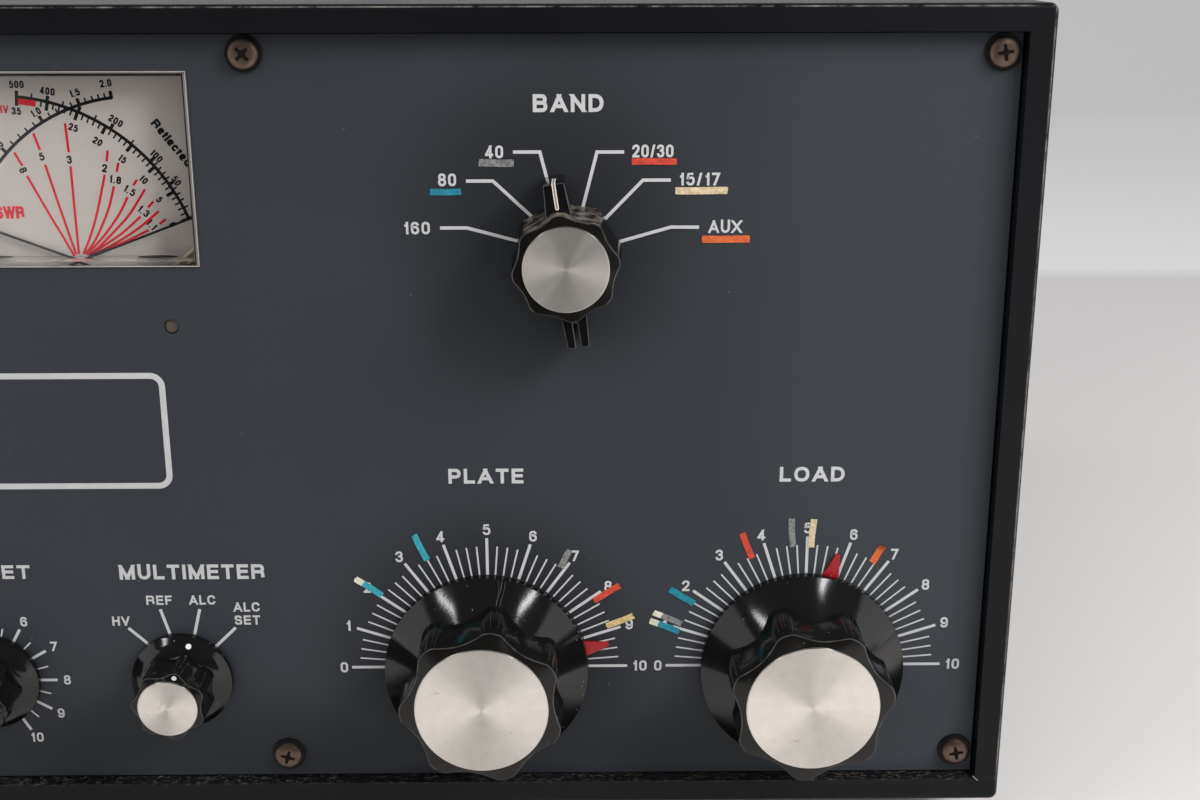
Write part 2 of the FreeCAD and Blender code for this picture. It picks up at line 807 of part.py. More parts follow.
def band_knob():
    """Fluted knob with a bar right across it: a narrow pointer and a slotted tail."""
    grip = fluted_grip(band_lobes, (band_lobe_base, band_valley_base),
                       (band_lobe_top, band_valley_top), band_knob_lift, band_knob_height)
    low, high = band_knob_lift, band_bar_height
    right_side = [Vector(band_bar_tail / 2, -band_tail_reach, low), Vector(band_bar_middle / 2, 0, low),
                  Vector(band_bar_tip / 2, band_tip_reach, low)]
    left_side = [Vector(-corner.x, corner.y, low) for corner in reversed(right_side)]
    corners = right_side + left_side
    bar = Part.Face(Part.makePolygon(corners + [corners[0]])).extrude(Vector(0, 0, high - low))
    notch = box(-band_tail_slot / 2, band_tail_slot / 2, -band_tail_reach - 1,
                -band_tail_reach + band_tail_depth, low - 1, high + 1)
    hollow = rod(nut_radius + 1.2, low - 1, low + nut_height + 0.6)
    bore = rod(shaft_radius + fit, low - 1, band_knob_height - cap_seat - 1.5)
    seat = rod(band_cap_radius + fit, band_knob_height - cap_seat, band_knob_height + 1)
    return fuse_all([grip, bar]).cut(notch).cut(hollow).cut(bore).cut(seat)


def bushing_and_nut(length):
    """Threaded bushing through the panel with its nut in front, bored for the shaft."""
    bushing = rod(bushing_radius, -length, nut_height + 0.4)
    corners = [Vector(nut_radius * math.cos(math.radians(60 * k + 30)),
                      nut_radius * math.sin(math.radians(60 * k + 30)), 0) for k in range(6)]
    nut = Part.Face(Part.makePolygon(corners + [corners[0]])).extrude(Vector(0, 0, nut_height))
    bore = rod(shaft_radius + fit, -length - 1, nut_height + 2)
    return bushing.fuse(nut).cut(bore).removeSplitter()


def band_switch_frame():
    """Index plate, tie rods and fixed ceramic wafers of the band switch."""
    back = -panel_thickness
    index = box(-index_half_width, index_half_width, -index_half_height, index_half_height,
                back - index_plate, back)
    last = back - index_plate - wafer_first - (wafer_count - 1) * wafer_pitch - wafer_thickness
    bore = rod(shaft_radius + fit, last - index_plate, band_knob_height)
    frame = fuse_all([index, bushing_and_nut(panel_thickness)])
    rods = [rod(switch_rod_radius, last, back - index_plate, 0, side * switch_rod_place)
            for side in (-1, 1)]
    parts = [fuse_all([frame] + rods).cut(bore)]
    for index_number in range(wafer_count):
        front = back - index_plate - wafer_first - index_number * wafer_pitch
        wafer = ring(wafer_radius, wafer_rotor_radius + fit, front - wafer_thickness, front)
        holes = [rod(switch_rod_radius, front - wafer_thickness - 1, front + 1, 0,
                     side * switch_rod_place) for side in (-1, 1)]
        parts.append(wafer.cut(holes))
    return parts


def band_switch_shaft():
    """Shaft of the band switch with the moving disc of each wafer."""
    back = -panel_thickness - index_plate
    last = back - wafer_first - (wafer_count - 1) * wafer_pitch - wafer_thickness
    front = band_knob_height - cap_seat - 2.0
    parts = [knob_shaft(front, last - 2.0)]
    for index_number in range(wafer_count):
        face = back - wafer_first - index_number * wafer_pitch
        parts.append(rod(wafer_rotor_radius, face - wafer_thickness, face))
    return fuse_all(parts)


def multimeter_switch():
    """Body of the multimeter switch with one wafer behind it."""
    back = -panel_thickness
    tail = back - small_switch_body
    body = rod(small_switch_radius, tail, back)
    wafer_front = tail - small_wafer_gap
    wafer = rod(small_wafer_radius, wafer_front - small_wafer_thickness, wafer_front)
    rods = [rod(switch_rod_radius, wafer_front, tail, side * small_rod_place, 0)
            for side in (-1, 1)]
    bore = rod(shaft_radius + fit, wafer_front - 10, 10)
    return fuse_all([body, wafer, bushing_and_nut(panel_thickness)] + rods).cut(bore)


def multimeter_shaft():
    """Shaft of the multimeter switch."""
    tail = -panel_thickness - small_switch_body - small_wafer_gap - small_wafer_thickness - 1.5
    return knob_shaft(small_knob_height - cap_seat - 2.0, tail)


def alc_control():
    """Potentiometer body of the ALC control."""
    back = -panel_thickness
    can = rod(pot_radius, back - pot_body, back)
    tags = [box(side * 5.0 - 1.2, side * 5.0 + 1.2, -pot_radius - 5.0, -pot_radius + 2.0,
                back - pot_body * 0.5, back - pot_body * 0.5 + 0.8) for side in (-1, 0, 1)]
    bore = rod(shaft_radius + fit, back - pot_body * 0.8, 10)
    return fuse_all([can, bushing_and_nut(panel_thickness)] + tags).cut(bore)


def alc_shaft():
    """Shaft of the ALC control."""
    return knob_shaft(small_knob_height - cap_seat - 2.0, -panel_thickness - pot_body * 0.7)


# ---------------------------------------------------------------- tuning drives and capacitors
drive_tail = -panel_thickness - drive_length
sleeve_tail = drive_tail - sleeve_overrun
coupling_tail = sleeve_tail - coupling_length
end_plate_front = coupling_tail - capacitor_gap


def ball_drive():
    """Fixed body of a ball-reduction drive, bolted behind the panel round its sleeve."""
    back = -panel_thickness
    body = rod(drive_radius, drive_tail, back)
    flange = rod(drive_flange_radius, back - drive_flange, back)
    return body.fuse(flange).cut(rod(sleeve_radius + fit, drive_tail - 1, 1)).removeSplitter()


def dial_pointer():
    """Flat pointer under the knob's skirt, on the drive's slow sleeve."""
    back, front = pointer_back, pointer_back + pointer_thickness
    hub = ring(pointer_hub_radius, sleeve_radius, back, front)
    root = pointer_hub_radius - 1.0
    right_side = [Vector(pointer_arm_width / 2, root, back),
                  Vector(pointer_arm_width / 2, pointer_arm_length, back),
                  Vector(pointer_tip_width / 2, pointer_reach, back)]
    corners = right_side + [Vector(-corner.x, corner.y, back) for corner in reversed(right_side)]
    blade = Part.Face(Part.makePolygon(corners + [corners[0]])).extrude(Vector(0, 0, front - back))
    return hub.fuse(blade).removeSplitter()


def vane_places(length):
    """Front faces of the moving vanes between the two end plates."""
    room = length - 2 * end_plate - 2 * vane_pitch
    count = int(room / vane_pitch)
    first = end_plate_front - end_plate - vane_pitch
    return [first - index * vane_pitch for index in range(count)]


def half_disc(radius, front, upper):
    """Half of a thin disc, above or below its middle."""
    disc = rod(radius, front - vane_thickness, front)
    low, high = (0, radius + 1) if upper else (-radius - 1, 0)
    return disc.common(box(-radius - 1, radius + 1, low, high, front - vane_thickness - 1, front + 1))


def capacitor_rotor(length):
    """Slow sleeve, coupling, shaft and moving vanes in one turning piece."""
    sleeve = rod(sleeve_radius, sleeve_tail, sleeve_front)
    coupling = rod(sleeve_radius + coupling_wall, coupling_tail, sleeve_tail)
    shaft = rod(shaft_radius, end_plate_front - length - shaft_overrun, coupling_tail)
    parts = [sleeve, coupling, shaft]
    spots = vane_places(length)
    parts.append(rod(vane_hub_radius, spots[-1] - vane_thickness - vane_hub_overrun,
                     spots[0] + vane_hub_overrun))
    parts += [half_disc(vane_radius, front, False) for front in spots]
    return fuse_all(parts).cut(rod(shaft_radius + fit, sleeve_tail, sleeve_front + 1))


def capacitor_frame(length):
    """End plates with tie bars, and the fixed vanes on their rods."""
    drop = base_z + tuning_z - pan_top_z
    rear = end_plate_front - length
    plates = [box(-end_plate_half_width, end_plate_half_width, -drop, end_plate_rise, z1 - end_plate, z1)
              for z1 in (end_plate_front, rear + end_plate)]
    corners = [(x, y) for x in (-end_plate_half_width + tie_bar_inset,
                                end_plate_half_width - tie_bar_inset)
               for y in (-drop + tie_bar_inset, end_plate_rise - tie_bar_inset)]
    bars = [rod(tie_bar_radius, rear, end_plate_front, x, y) for x, y in corners]
    bearing = rod(shaft_radius + fit, rear - 5, end_plate_front + 5)
    frame = fuse_all(plates + bars).cut(bearing)
    angle = math.radians(32)
    x, y = stator_rod_place * math.cos(angle), stator_rod_place * math.sin(angle)
    rods = [rod(stator_rod_radius, rear + end_plate, end_plate_front - end_plate, side * x, y)
            for side in (-1, 1)]
    vanes = []
    for front in vane_places(length)[:-1]:
        middle = front - vane_pitch / 2
        vane = half_disc(stator_radius, middle, True)
        vanes.append(vane.cut(rod(vane_hub_radius + vane_clearance, middle - 5, middle + 5)))
    return [frame, fuse_all(rods + vanes)]


def tuning_shaft():
    """Fast shaft from a large knob into its ball drive."""
    return knob_shaft(big_knob_height - cap_seat - 2.0, sleeve_tail + 1.0)


# ---------------------------------------------------------------- meters
def meter_case():
    """Black case behind the panel, open in front, with the two movements on its back wall."""
    half = meter_width / 2 + meter_side
    low, high = -meter_below, meter_height + meter_side
    front = -panel_thickness - window_flange
    shell = box(-half, half, low, high, -meter_case_depth, front)
    wall = meter_case_wall
    shell = shell.cut(box(-half + wall, half - wall, low + wall, high - wall,
                          -meter_case_depth + wall, front + 1))
    parts = [shell]
    for side, depth in ((-1, front_needle_depth), (1, back_needle_depth)):
        face = -depth - needle_hub_length - movement_gap
        parts.append(rod(movement_radius, -meter_case_depth + wall, face,
                         side * needle_pivot_offset, -needle_pivot_drop))
    shelf = box(-meter_width / 2, meter_width / 2, meter_height * 0.4, meter_height * 0.4 + 2.0,
                -meter_case_depth + wall, -dial_depth - dial_thickness)
    parts.append(shelf)
    return fuse_all(parts)


def meter_window():
    """Clear moulded front: it fills the panel's opening and has a flange behind the panel."""
    half = meter_width / 2 - window_clearance
    low, high = window_clearance, meter_height - window_clearance
    back = -panel_thickness - window_flange
    block = box(-half, half, low, high, back, window_stand)
    outer = meter_width / 2 + meter_side
    flange = box(-outer, outer, -meter_below, meter_height + meter_side, back, -panel_thickness)
    for side in (-1, 1):
        flange = flange.cut(rod(zero_hole_radius, back - 1, 1, side * zero_hole_offset,
                                -zero_hole_drop))
    body = block.fuse(flange)
    inner = box(-half + window_wall, half - window_wall, low + window_wall, high - window_wall,
                back - 1, window_stand - window_wall)
    return body.cut(inner).removeSplitter()


def meter_dial():
    """Thin dial plate with clipped lower corners."""
    half = meter_width / 2 - dial_margin
    low, high = dial_margin, meter_height - dial_margin
    corners = [(-half, high), (half, high), (half, low + dial_corner), (half - dial_corner, low),
               (-half + dial_corner, low), (-half, low + dial_corner)]
    points = [Vector(x, y, -dial_depth - dial_thickness) for x, y in corners]
    return Part.Face(Part.makePolygon(points + [points[0]])).extrude(Vector(0, 0, dial_thickness))


def meter_needle(depth, to_right):
    """Needle on its hub at the origin, at rest at its zero, with a short tail."""
    blade = box(-needle_tail, needle_length, -needle_width / 2, needle_width / 2,
                -depth - needle_thickness, -depth)
    hub = rod(needle_hub_radius, -depth - needle_hub_length, -depth - needle_thickness)
    needle = blade.fuse(hub).removeSplitter()
    angle = needle_rest_angle if to_right else 180 - needle_rest_angle
    needle.rotate(Vector(0, 0, 0), Vector(0, 0, 1), angle)
    return needle


def placed_needle(meter_x, to_right):
    """Needle in its meter; the one that points right pivots on the left."""
    side = -1 if to_right else 1
    depth = front_needle_depth if to_right else back_needle_depth
    return on_panel(meter_needle(depth, to_right), meter_x + side * needle_pivot_offset,
                    needle_pivot_z)


# ---------------------------------------------------------------- rocker switches and lamps
def rocker_frame():
    """Switch body through the panel with its bezel, pocket and pivot pin."""
    half_x, half_y = rocker_body_width / 2, rocker_body_height / 2
    body = box(-half_x, half_x, -half_y, half_y, -rocker_body_depth, 0)
    bezel = box(-bezel_width / 2, bezel_width / 2, -bezel_height / 2, bezel_height / 2,
                0, bezel_thickness)
    pocket_x, pocket_y = rocker_width / 2 + rocker_gap, rocker_length / 2 + 2 * rocker_gap + 0.3
    pocket = box(-pocket_x, pocket_x, -pocket_y, pocket_y, -8.0, bezel_thickness + 1)
    shell = body.fuse(bezel).cut(pocket).removeSplitter()
    pin = Part.makeCylinder(rocker_pin_radius, 2 * pocket_x, Vector(-pocket_x, 0, -rocker_pivot_depth),
                            Vector(1, 0, 0))
    return fuse_all([shell, pin])


def rocker():
    """Rocker on its pin, bottom end pressed in."""
    half = rocker_length / 2
    profile = [(-half, rocker_rise), (0, rocker_dip), (half, rocker_rise),
               (half - 1.2, -rocker_root), (0, -rocker_root - 1.2), (-half + 1.2, -rocker_root)]
    points = [Vector(-rocker_width / 2, y, z) for y, z in profile]
    solid = Part.Face(Part.makePolygon(points + [points[0]])).extrude(Vector(rocker_width, 0, 0))
    pivot = Vector(0, 0, -rocker_pivot_depth)
    bore = Part.makeCylinder(rocker_pin_radius + fit, rocker_width + 2,
                             Vector(-rocker_width / 2 - 1, 0, -rocker_pivot_depth), Vector(1, 0, 0))
    solid = solid.cut(bore)
    solid.rotate(pivot, Vector(1, 0, 0), rocker_tilt)
    return solid


def panel_lamp():
    """Domed indicator pushed through the panel."""
    stem = rod(lamp_radius, -panel_thickness - 6.0, 0.6)
    dome = Part.makeSphere(lamp_radius, Vector(0, 0, 0.6))
    dome = dome.common(box(-5, 5, -5, 5, 0.6, 5))
    rim = rod(lamp_radius + 0.8, -panel_thickness - 1.4, -panel_thickness)
    return fuse_all([stem, dome, rim])


# ---------------------------------------------------------------- tube deck
def tube_deck():
    """Aluminium sheet folded up as the middle wall, across as the deck and down at the right."""
    right = inner_half_width - sheet - deck_leg_inset
    back = rear_y - rear_flange
    deck = box(wall_x, right, deck_front_y, back, deck_top_z - deck_sheet, deck_top_z)
    wall = box(wall_x, wall_x + deck_sheet, deck_front_y, back, deck_top_z - deck_sheet,
               ceiling_z - wall_top_gap)
    leg = box(right - deck_sheet, right, deck_front_y, back, pan_top_z, deck_top_z)
    inner_leg = box(wall_x, wall_x + deck_sheet, deck_front_y, back, pan_top_z, deck_top_z)
    hole = rod_z(socket_radius - 4.0, pan_top_z, deck_top_z + 1, tube_x, tube_y)
    return fuse_all([deck, wall, leg, inner_leg]).cut(hole)


def tube_socket():
    """Ceramic socket let into the deck, its lip on top."""
    top = deck_top_z + socket_lip
    body = rod_z(socket_radius - 4.0 - slip, deck_top_z - socket_depth, top, tube_x, tube_y)
    lip = rod_z(socket_radius, deck_top_z, top, tube_x, tube_y)
    holes = []
    for index in range(5):
        angle = math.radians(72 * index)
        holes.append(rod_z(2.4, deck_top_z - socket_depth - 1, top + 1,
                           tube_x + 18 * math.cos(angle), tube_y + 18 * math.sin(angle)))
    return body.fuse(lip).cut(holes).removeSplitter()


tube_base_z = deck_top_z + socket_lip
glass_top_z = tube_base_z + tube_base_height + tube_bulb_height + tube_shoulder


def bulb(radius, base_radius, low, high, neck):
    """Tube outline: straight bulb with a domed shoulder up to its neck."""
    start = Vector(0, 0, low)
    foot = Vector(base_radius, 0, low)
    swell = Vector(radius, 0, low + 16.0)
    shoulder = Vector(radius, 0, high - tube_shoulder)
    bend = Vector(neck + (radius - neck) * 0.75, 0, high - tube_shoulder * 0.32)
    top = Vector(neck, 0, high)
    centre = Vector(0, 0, high)
    edges = [Part.LineSegment(start, foot).toShape(), Part.LineSegment(foot, swell).toShape(),
             Part.LineSegment(swell, shoulder).toShape(), Part.Arc(shoulder, bend, top).toShape(),
             Part.LineSegment(top, centre).toShape(), Part.LineSegment(centre, start).toShape()]
    return Part.Face(Part.Wire(edges)).revolve(Vector(0, 0, 0), Vector(0, 0, 1), 360)


def power_tube():
    """Transmitting triode: metal base, glass bulb, anode on its stem."""
    low = tube_base_height
    high = low + tube_bulb_height + tube_shoulder
    base = rod(tube_base_radius, 0, low)
    pins = []
    for index in range(5):
        angle = math.radians(72 * index)
        pins.append(rod(2.0, -socket_depth * 0.7, 0, 18 * math.cos(angle), 18 * math.sin(angle)))
    base = fuse_all([base] + pins)
    glass = bulb(tube_radius, tube_base_radius, low, high, tube_neck_radius)
    glass = glass.cut(bulb(tube_radius - tube_wall, tube_base_radius - tube_wall, low + tube_wall,
                           high - tube_wall, anode_stem_radius + 1.0))
    glass = glass.cut(rod(anode_stem_radius, high - tube_shoulder, high + 1))
    anode_low = low + anode_rise
    anode = rod(anode_radius, anode_low, anode_low + anode_height)
    stem = rod(anode_stem_radius, anode_low + anode_height, high + tube_neck_height)
    out = [base, glass, anode.fuse(stem).removeSplitter()]
    for solid in out:
        solid.translate(Vector(tube_x, tube_y, tube_base_z))
    return out


def anode_cooler():
    """Finned clamp on the tube's anode stem."""
    low = cooler_rise
    core = rod(cooler_core_radius, low, low + cooler_height)
    step = (cooler_height - cooler_fin) / (cooler_fins - 1)
    fins = [rod(cooler_radius, low + index * step, low + index * step + cooler_fin)
            for index in range(cooler_fins)]
    cooler = fuse_all([core] + fins).cut(rod(anode_stem_radius, low - 1, tube_neck_height + slip))
    cooler.translate(Vector(tube_x, tube_y, glass_top_z))
    return cooler


def tank_coil():
    """Tubing coil of the output network, wound along x and let into an upright stay."""
    height = coil_pitch * coil_turns
    helix = Part.makeHelix(coil_pitch, height, coil_radius)
    angles = [2 * math.pi * index / coil_flats for index in range(coil_flats)]
    rim = [Vector(coil_radius + coil_wire * math.cos(a), 0, coil_wire * math.sin(a)) for a in angles]
    section = Part.makePolygon(rim + [rim[0]])
    coil = Part.Wire(helix.Edges).makePipeShell([section], True, True)
    coil.rotate(Vector(0, 0, 0), Vector(0, 1, 0), 90)
    coil.translate(Vector(coil_x, coil_y, base_z + coil_z))
    stay = box(coil_x - coil_stay, coil_x + height + coil_stay, deck_front_y,
               deck_front_y + coil_stay, deck_top_z, base_z + coil_z + coil_stay_rise)
    return [coil, stay.cut(coil)]


def transformer_core():
    """Laminated core standing on two feet."""
    half_x, half_y = transformer_width / 2, transformer_stack / 2
    low = pan_top_z + transformer_foot
    high = low + transformer_height
    core = box(transformer_x - half_x, transformer_x + half_x, transformer_y - half_y,
               transformer_y + half_y, low, high)
    for side in (-1, 1):
        inner = transformer_x + side * transformer_leg / 2
        outer = inner + side * transformer_window_width
        core = core.cut(box(min(inner, outer), max(inner, outer), transformer_y - half_y - 1,
                            transformer_y + half_y + 1, low + transformer_yoke,
                            high - transformer_yoke))
    reach = half_y + transformer_foot_reach
    feet = []
    for side in (-transformer_foot_place, transformer_foot_place):
        middle = transformer_x + side * half_x
        feet.append(box(middle - transformer_foot_width / 2, middle + transformer_foot_width / 2,
                        transformer_y - reach, transformer_y + reach, pan_top_z, low))
    return fuse_all([core] + feet)


def transformer_windings():
    """Wound bobbin round the core's middle leg, bulging out at front and back."""
    half_y = transformer_stack / 2
    low = pan_top_z + transformer_foot + transformer_yoke + winding_gap
    high = pan_top_z + transformer_foot + transformer_height - transformer_yoke - winding_gap
    half_x = transformer_leg / 2 + transformer_window_width - winding_gap
    reach = half_y + winding_overhang
    coil = box(transformer_x - half_x, transformer_x + half_x, transformer_y - reach,
               transformer_y + reach, low, high)
    upright = [e for e in coil.Edges if abs(e.tangentAt(e.FirstParameter).z) > 0.9]
    coil = coil.makeFillet(winding_overhang * 0.7, upright)
    leg = box(transformer_x - transformer_leg / 2, transformer_x + transformer_leg / 2,
              transformer_y - half_y, transformer_y + half_y, low - 1, high + 1)
    return coil.cut(leg)


def capacitor_places():
    """Middles of the filter capacitors on their board."""
    out = []
    for row in range(capacitor_rows):
        for column in range(capacitor_columns):
            out.append((board_x + (column - (capacitor_columns - 1) / 2) * capacitor_pitch_x,
                        board_y + (row - (capacitor_rows - 1) / 2) * capacitor_pitch_y))
    return out


def capacitor_board():
    """Circuit board of the high-voltage supply on four posts."""
    low = pan_top_z + board_height
    half_x, half_y = board_width / 2, board_length / 2
    board = box(board_x - half_x, board_x + half_x, board_y - half_y, board_y + half_y,
                low, low + board_thickness)
    posts = [rod_z(stand_off_radius, pan_top_z, low,
                   board_x + sx * (half_x - stand_off_inset), board_y + sy * (half_y - stand_off_inset))
             for sx in (-1, 1) for sy in (-1, 1)]
    return fuse_all([board] + posts)


def filter_capacitors():
    """Electrolytic capacitors standing on the board."""
    low = pan_top_z + board_height + board_thickness
    out = []
    for x, y in capacitor_places():
        can = rod_z(capacitor_radius, low, low + capacitor_height, x, y)
        rims = [e for e in can.Edges if abs(e.BoundBox.ZMin - low - capacitor_height) < 1e-6
                and e.Length > capacitor_radius * 4]
        out.append(can.makeFillet(1.5, rims))
    return out


def antenna_relay():
    """Changeover relay in its case, under the deck by the output socket."""
    half_x, half_y = relay_width / 2, relay_depth / 2
    case = box(relay_x - half_x, relay_x + half_x, relay_y - half_y, relay_y + half_y,
               pan_top_z, pan_top_z + relay_height)
    upper = [e for e in case.Edges if e.BoundBox.ZMin > pan_top_z + 0.1]
    return case.makeFillet(1.2, upper)


# ---------------------------------------------------------------- rear fittings
def fan_frame():
    """Square frame of the fan with its bearing spider."""
    half = fan_size / 2
    block = box(-half, half, -half, half, -sheet - fan_depth, -sheet)
    bore = rod(fan_bore_radius, -sheet - fan_depth - 1, -sheet + 1)
    frame = block.cut(bore)
    front = -sheet - fan_strut
    spider = [rod(fan_hub_radius - 2.0, front, -sheet)]
    for index in range(4):
        arm = box(-fan_strut / 2, fan_strut / 2, 0, fan_bore_radius + 1, front, -sheet)
        arm.rotate(Vector(0, 0, 0), Vector(0, 0, 1), 45 + 90 * index)
        spider.append(arm)
    corners = [rod(2.1, -sheet - fan_depth - 1, 1, sx * (half - 4.3), sy * (half - 4.3))
               for sx in (-1, 1) for sy in (-1, 1)]
    pin = rod(fan_pin_radius, -sheet - fan_depth + 4.0, front)
    return fuse_all([frame.cut(corners)] + spider + [pin])


def fan_rotor():
    """Fan hub with its pitched blades."""
    front, back = -sheet - fan_depth + 1.0, -sheet - fan_strut - 1.0
    hub = rod(fan_hub_radius, front, back)
    depth = (back - front) * 0.72
    middle = (front + back) / 2
    parts = [hub]
    for index in range(fan_blades):
        blade = box(-fan_blade_thickness / 2, fan_blade_thickness / 2, fan_hub_radius - 3.0,
                    fan_rotor_radius, -depth / 2, depth / 2)
        blade.rotate(Vector(0, 0, 0), Vector(0, 1, 0), fan_blade_angle)
        blade = blade.common(rod(fan_rotor_radius, -depth, depth))
        blade.translate(Vector(0, 0, middle))
        blade.rotate(Vector(0, 0, 0), Vector(0, 0, 1), index * 360 / fan_blades)
        parts.append(blade)
    return fuse_all(parts).cut(rod(fan_pin_radius + fit, front + 2.0, back + 1))


def jack_xs():
    """Middles of the two phono jacks."""
    return [jack_first_x, jack_first_x + jack_pitch]


def fuse_xs():
    """Middles of the two fuse holders."""
    return [fuse_first_x, fuse_first_x + fuse_pitch]


def coax_socket():
    """Square-flanged coaxial socket."""
    half = coax_flange / 2
    flange = box(-half, half, -half, half, 0, coax_flange_thickness)
    for sx in (-1, 1):
        for sy in (-1, 1):
            flange = flange.cut(rod(1.6, -1, 5, sx * (half - 3.4), sy * (half - 3.4)))
    barrel = rod(coax_radius, 0, rear_reach)
    tail = rod(coax_body_radius, -coax_tail, 0)
    body = fuse_all([flange, barrel, tail])
    body = body.cut(rod(coax_bore_radius, coax_flange_thickness + 2.0, rear_reach + 1))
    contact = ring(coax_pin_bore + 1.0, coax_pin_bore, coax_flange_thickness + 2.0, rear_reach - 2.0)
    return body.fuse(contact).removeSplitter()


def phono_jack():
    """Small coaxial jack with a round flange."""
    flange = rod(jack_flange_radius, 0, 1.2)
    barrel = rod(jack_radius, -sheet - 5.0, jack_length)
    body = flange.fuse(barrel).removeSplitter()
    return body.cut(rod(jack_bore_radius, 2.0, jack_length + 1))


def ground_post():
    """Earth stud with its wing nut."""
    stud = rod(post_radius, -sheet - 5.0, post_length)
    washer = ring(wing_hub_radius + 1.4, post_radius, 0, 1.0)
    hub = ring(wing_hub_radius, post_radius, 1.0, 5.0)
    wings = []
    for side in (-1, 1):
        wing = box(0, wing_span - 1.0, -wing_thickness / 2, wing_thickness / 2, 0, 4.2)
        wing = wing.cut(rod(wing_hub_radius - 0.8, -1, 9))
        wing.rotate(Vector(0, 0, 0), Vector(0, 1, 0), -28)
        wing.translate(Vector(0, 0, 1.4))
        if side < 0:
            wing.rotate(Vector(0, 0, 0), Vector(0, 0, 1), 180)
        wings.append(wing)
    nut = fuse_all([hub] + wings).cut(rod(post_radius, -1, wing_height + 9))
    nut = nut.common(box(-wing_span, wing_span, -wing_span, wing_span, 1.0, 2 * wing_span))
    inner_nut = ring(nut_radius - 1.2, post_radius, -sheet - 3.0, -sheet)
    return [stud, washer, nut, inner_nut]


def fuse_holder():
    """Fuse holder through the panel with its screwed cap."""
    body = rod(fuse_radius - slip, -fuse_tail, 0)
    flange = rod(fuse_flange_radius, 0, 2.0)
    cap = rod(fuse_cap_radius, 2.0, 2.0 + fuse_cap_length)
    grooves = []
    for index in range(12):
        angle = math.radians(30 * index)
        grooves.append(rod(0.9, 3.4, 3.0 + fuse_cap_length, fuse_cap_radius * math.cos(angle),
                           fuse_cap_radius * math.sin(angle)))
    return fuse_all([body, flange, cap.cut(grooves)])


def cord_gland():
    """Strain-relief bush in the cord's hole, with nothing in it."""
    body = rod(gland_radius - slip, -gland_tail, 0)
    flange = rod(gland_flange_radius, 0, 2.5)
    nose = lathe([(0, 2.5), (gland_radius + 1.0, 2.5), (gland_radius - 1.6, gland_length),
                  (0, gland_length)])
    return fuse_all([body, flange, nose]).cut(rod(gland_bore_radius, -gland_tail - 1, gland_length + 1))


# ---------------------------------------------------------------- everything, node by node
def build_cabinet():
    """Frame, sheet metal, panel, screws and feet."""
    save("front_frame", front_frame())
    save("cabinet_cover", cabinet_cover())
    save("bottom_pan", bottom_pan())
    save("front_panel", front_panel())
    save("rear_panel", rear_panel())
    save("screws_and_washers", *case_screws())
    save("rubber_feet", *rubber_feet())


def build_tuning(name, x, setting, knob_angle, length):
    """One tuning control: knob, cap, shaft, pointer, capacitor rotor and frame."""
    dial_angle = (setting / dial_top - 0.5) * dial_span
    save(f"{name}_knob", on_panel(turned(big_knob(), knob_angle), x, tuning_z))
    save(f"{name}_knob_cap", on_panel(knob_cap(big_cap_radius, big_knob_height), x, tuning_z))
    save(f"{name}_drive_shaft", on_panel(tuning_shaft(), x, tuning_z))
    save(f"{name}_pointer", on_panel(turned(dial_pointer(), dial_angle), x, tuning_z))
    save(f"{name}_capacitor_rotor",
         on_panel(turned(capacitor_rotor(length), dial_angle), x, tuning_z))
    save(f"{name}_capacitor_frame", *[on_panel(s, x, tuning_z) for s in capacitor_frame(length)])


def build_controls():
    """Band switch, tuning controls, multimeter switch and ALC control."""
    save("band_knob", on_panel(turned(band_knob(), band_angle), band_x, band_z))
    save("band_knob_cap", on_panel(knob_cap(band_cap_radius, band_knob_height), band_x, band_z))
    save("band_switch_shaft", on_panel(band_switch_shaft(), band_x, band_z))
    save("band_switch_frame", *[on_panel(s, band_x, band_z) for s in band_switch_frame()])
    build_tuning("plate", plate_x, plate_setting, plate_knob_angle, plate_capacitor_length)
    build_tuning("load", load_x, load_setting, load_knob_angle, load_capacitor_length)
    save("ball_drives", *[on_panel(ball_drive(), x, tuning_z) for x in (plate_x, load_x)])
    save("multimeter_knob", on_panel(turned(small_knob(), multimeter_angle), multimeter_x,
                                     small_knob_z))
    save("multimeter_knob_cap", on_panel(knob_cap(small_cap_radius, small_knob_height),
                                         multimeter_x, small_knob_z))
    save("multimeter_shaft", on_panel(multimeter_shaft(), multimeter_x, small_knob_z))
    save("multimeter_switch", on_panel(multimeter_switch(), multimeter_x, small_knob_z))
    save("alc_knob", on_panel(turned(small_knob(), alc_angle), alc_x, small_knob_z))
    save("alc_knob_cap", on_panel(knob_cap(small_cap_radius, small_knob_height), alc_x,
                                  small_knob_z))
    save("alc_shaft", on_panel(alc_shaft(), alc_x, small_knob_z))
    save("alc_control", on_panel(alc_control(), alc_x, small_knob_z))
    power_x, standby_x = rocker_xs()
    save("power_rocker", on_panel(rocker(), power_x, rocker_z))
    save("standby_rocker", on_panel(rocker(), standby_x, rocker_z))
    save("rocker_frames", *[on_panel(rocker_frame(), x, rocker_z) for x in rocker_xs()])
    save("panel_lamps", *[on_panel(panel_lamp(), x, rocker_z + lamp_drop) for x in rocker_xs()])


def build_meters():
    """Two cross-needle meters."""
    save("meter_cases", *[on_panel(meter_case(), x, meter_sill_z) for x in meter_xs()])
    save("meter_windows", *[on_panel(meter_window(), x, meter_sill_z) for x in meter_xs()])
    save("meter_dials", *[on_panel(meter_dial(), x, meter_sill_z) for x in meter_xs()])
    save("reflected_needle", placed_needle(right_meter_x, True))
    save("forward_needle", placed_needle(right_meter_x, False))
    save("grid_needle", placed_needle(left_meter_x, True))
    save("plate_needle", placed_needle(left_meter_x, False))


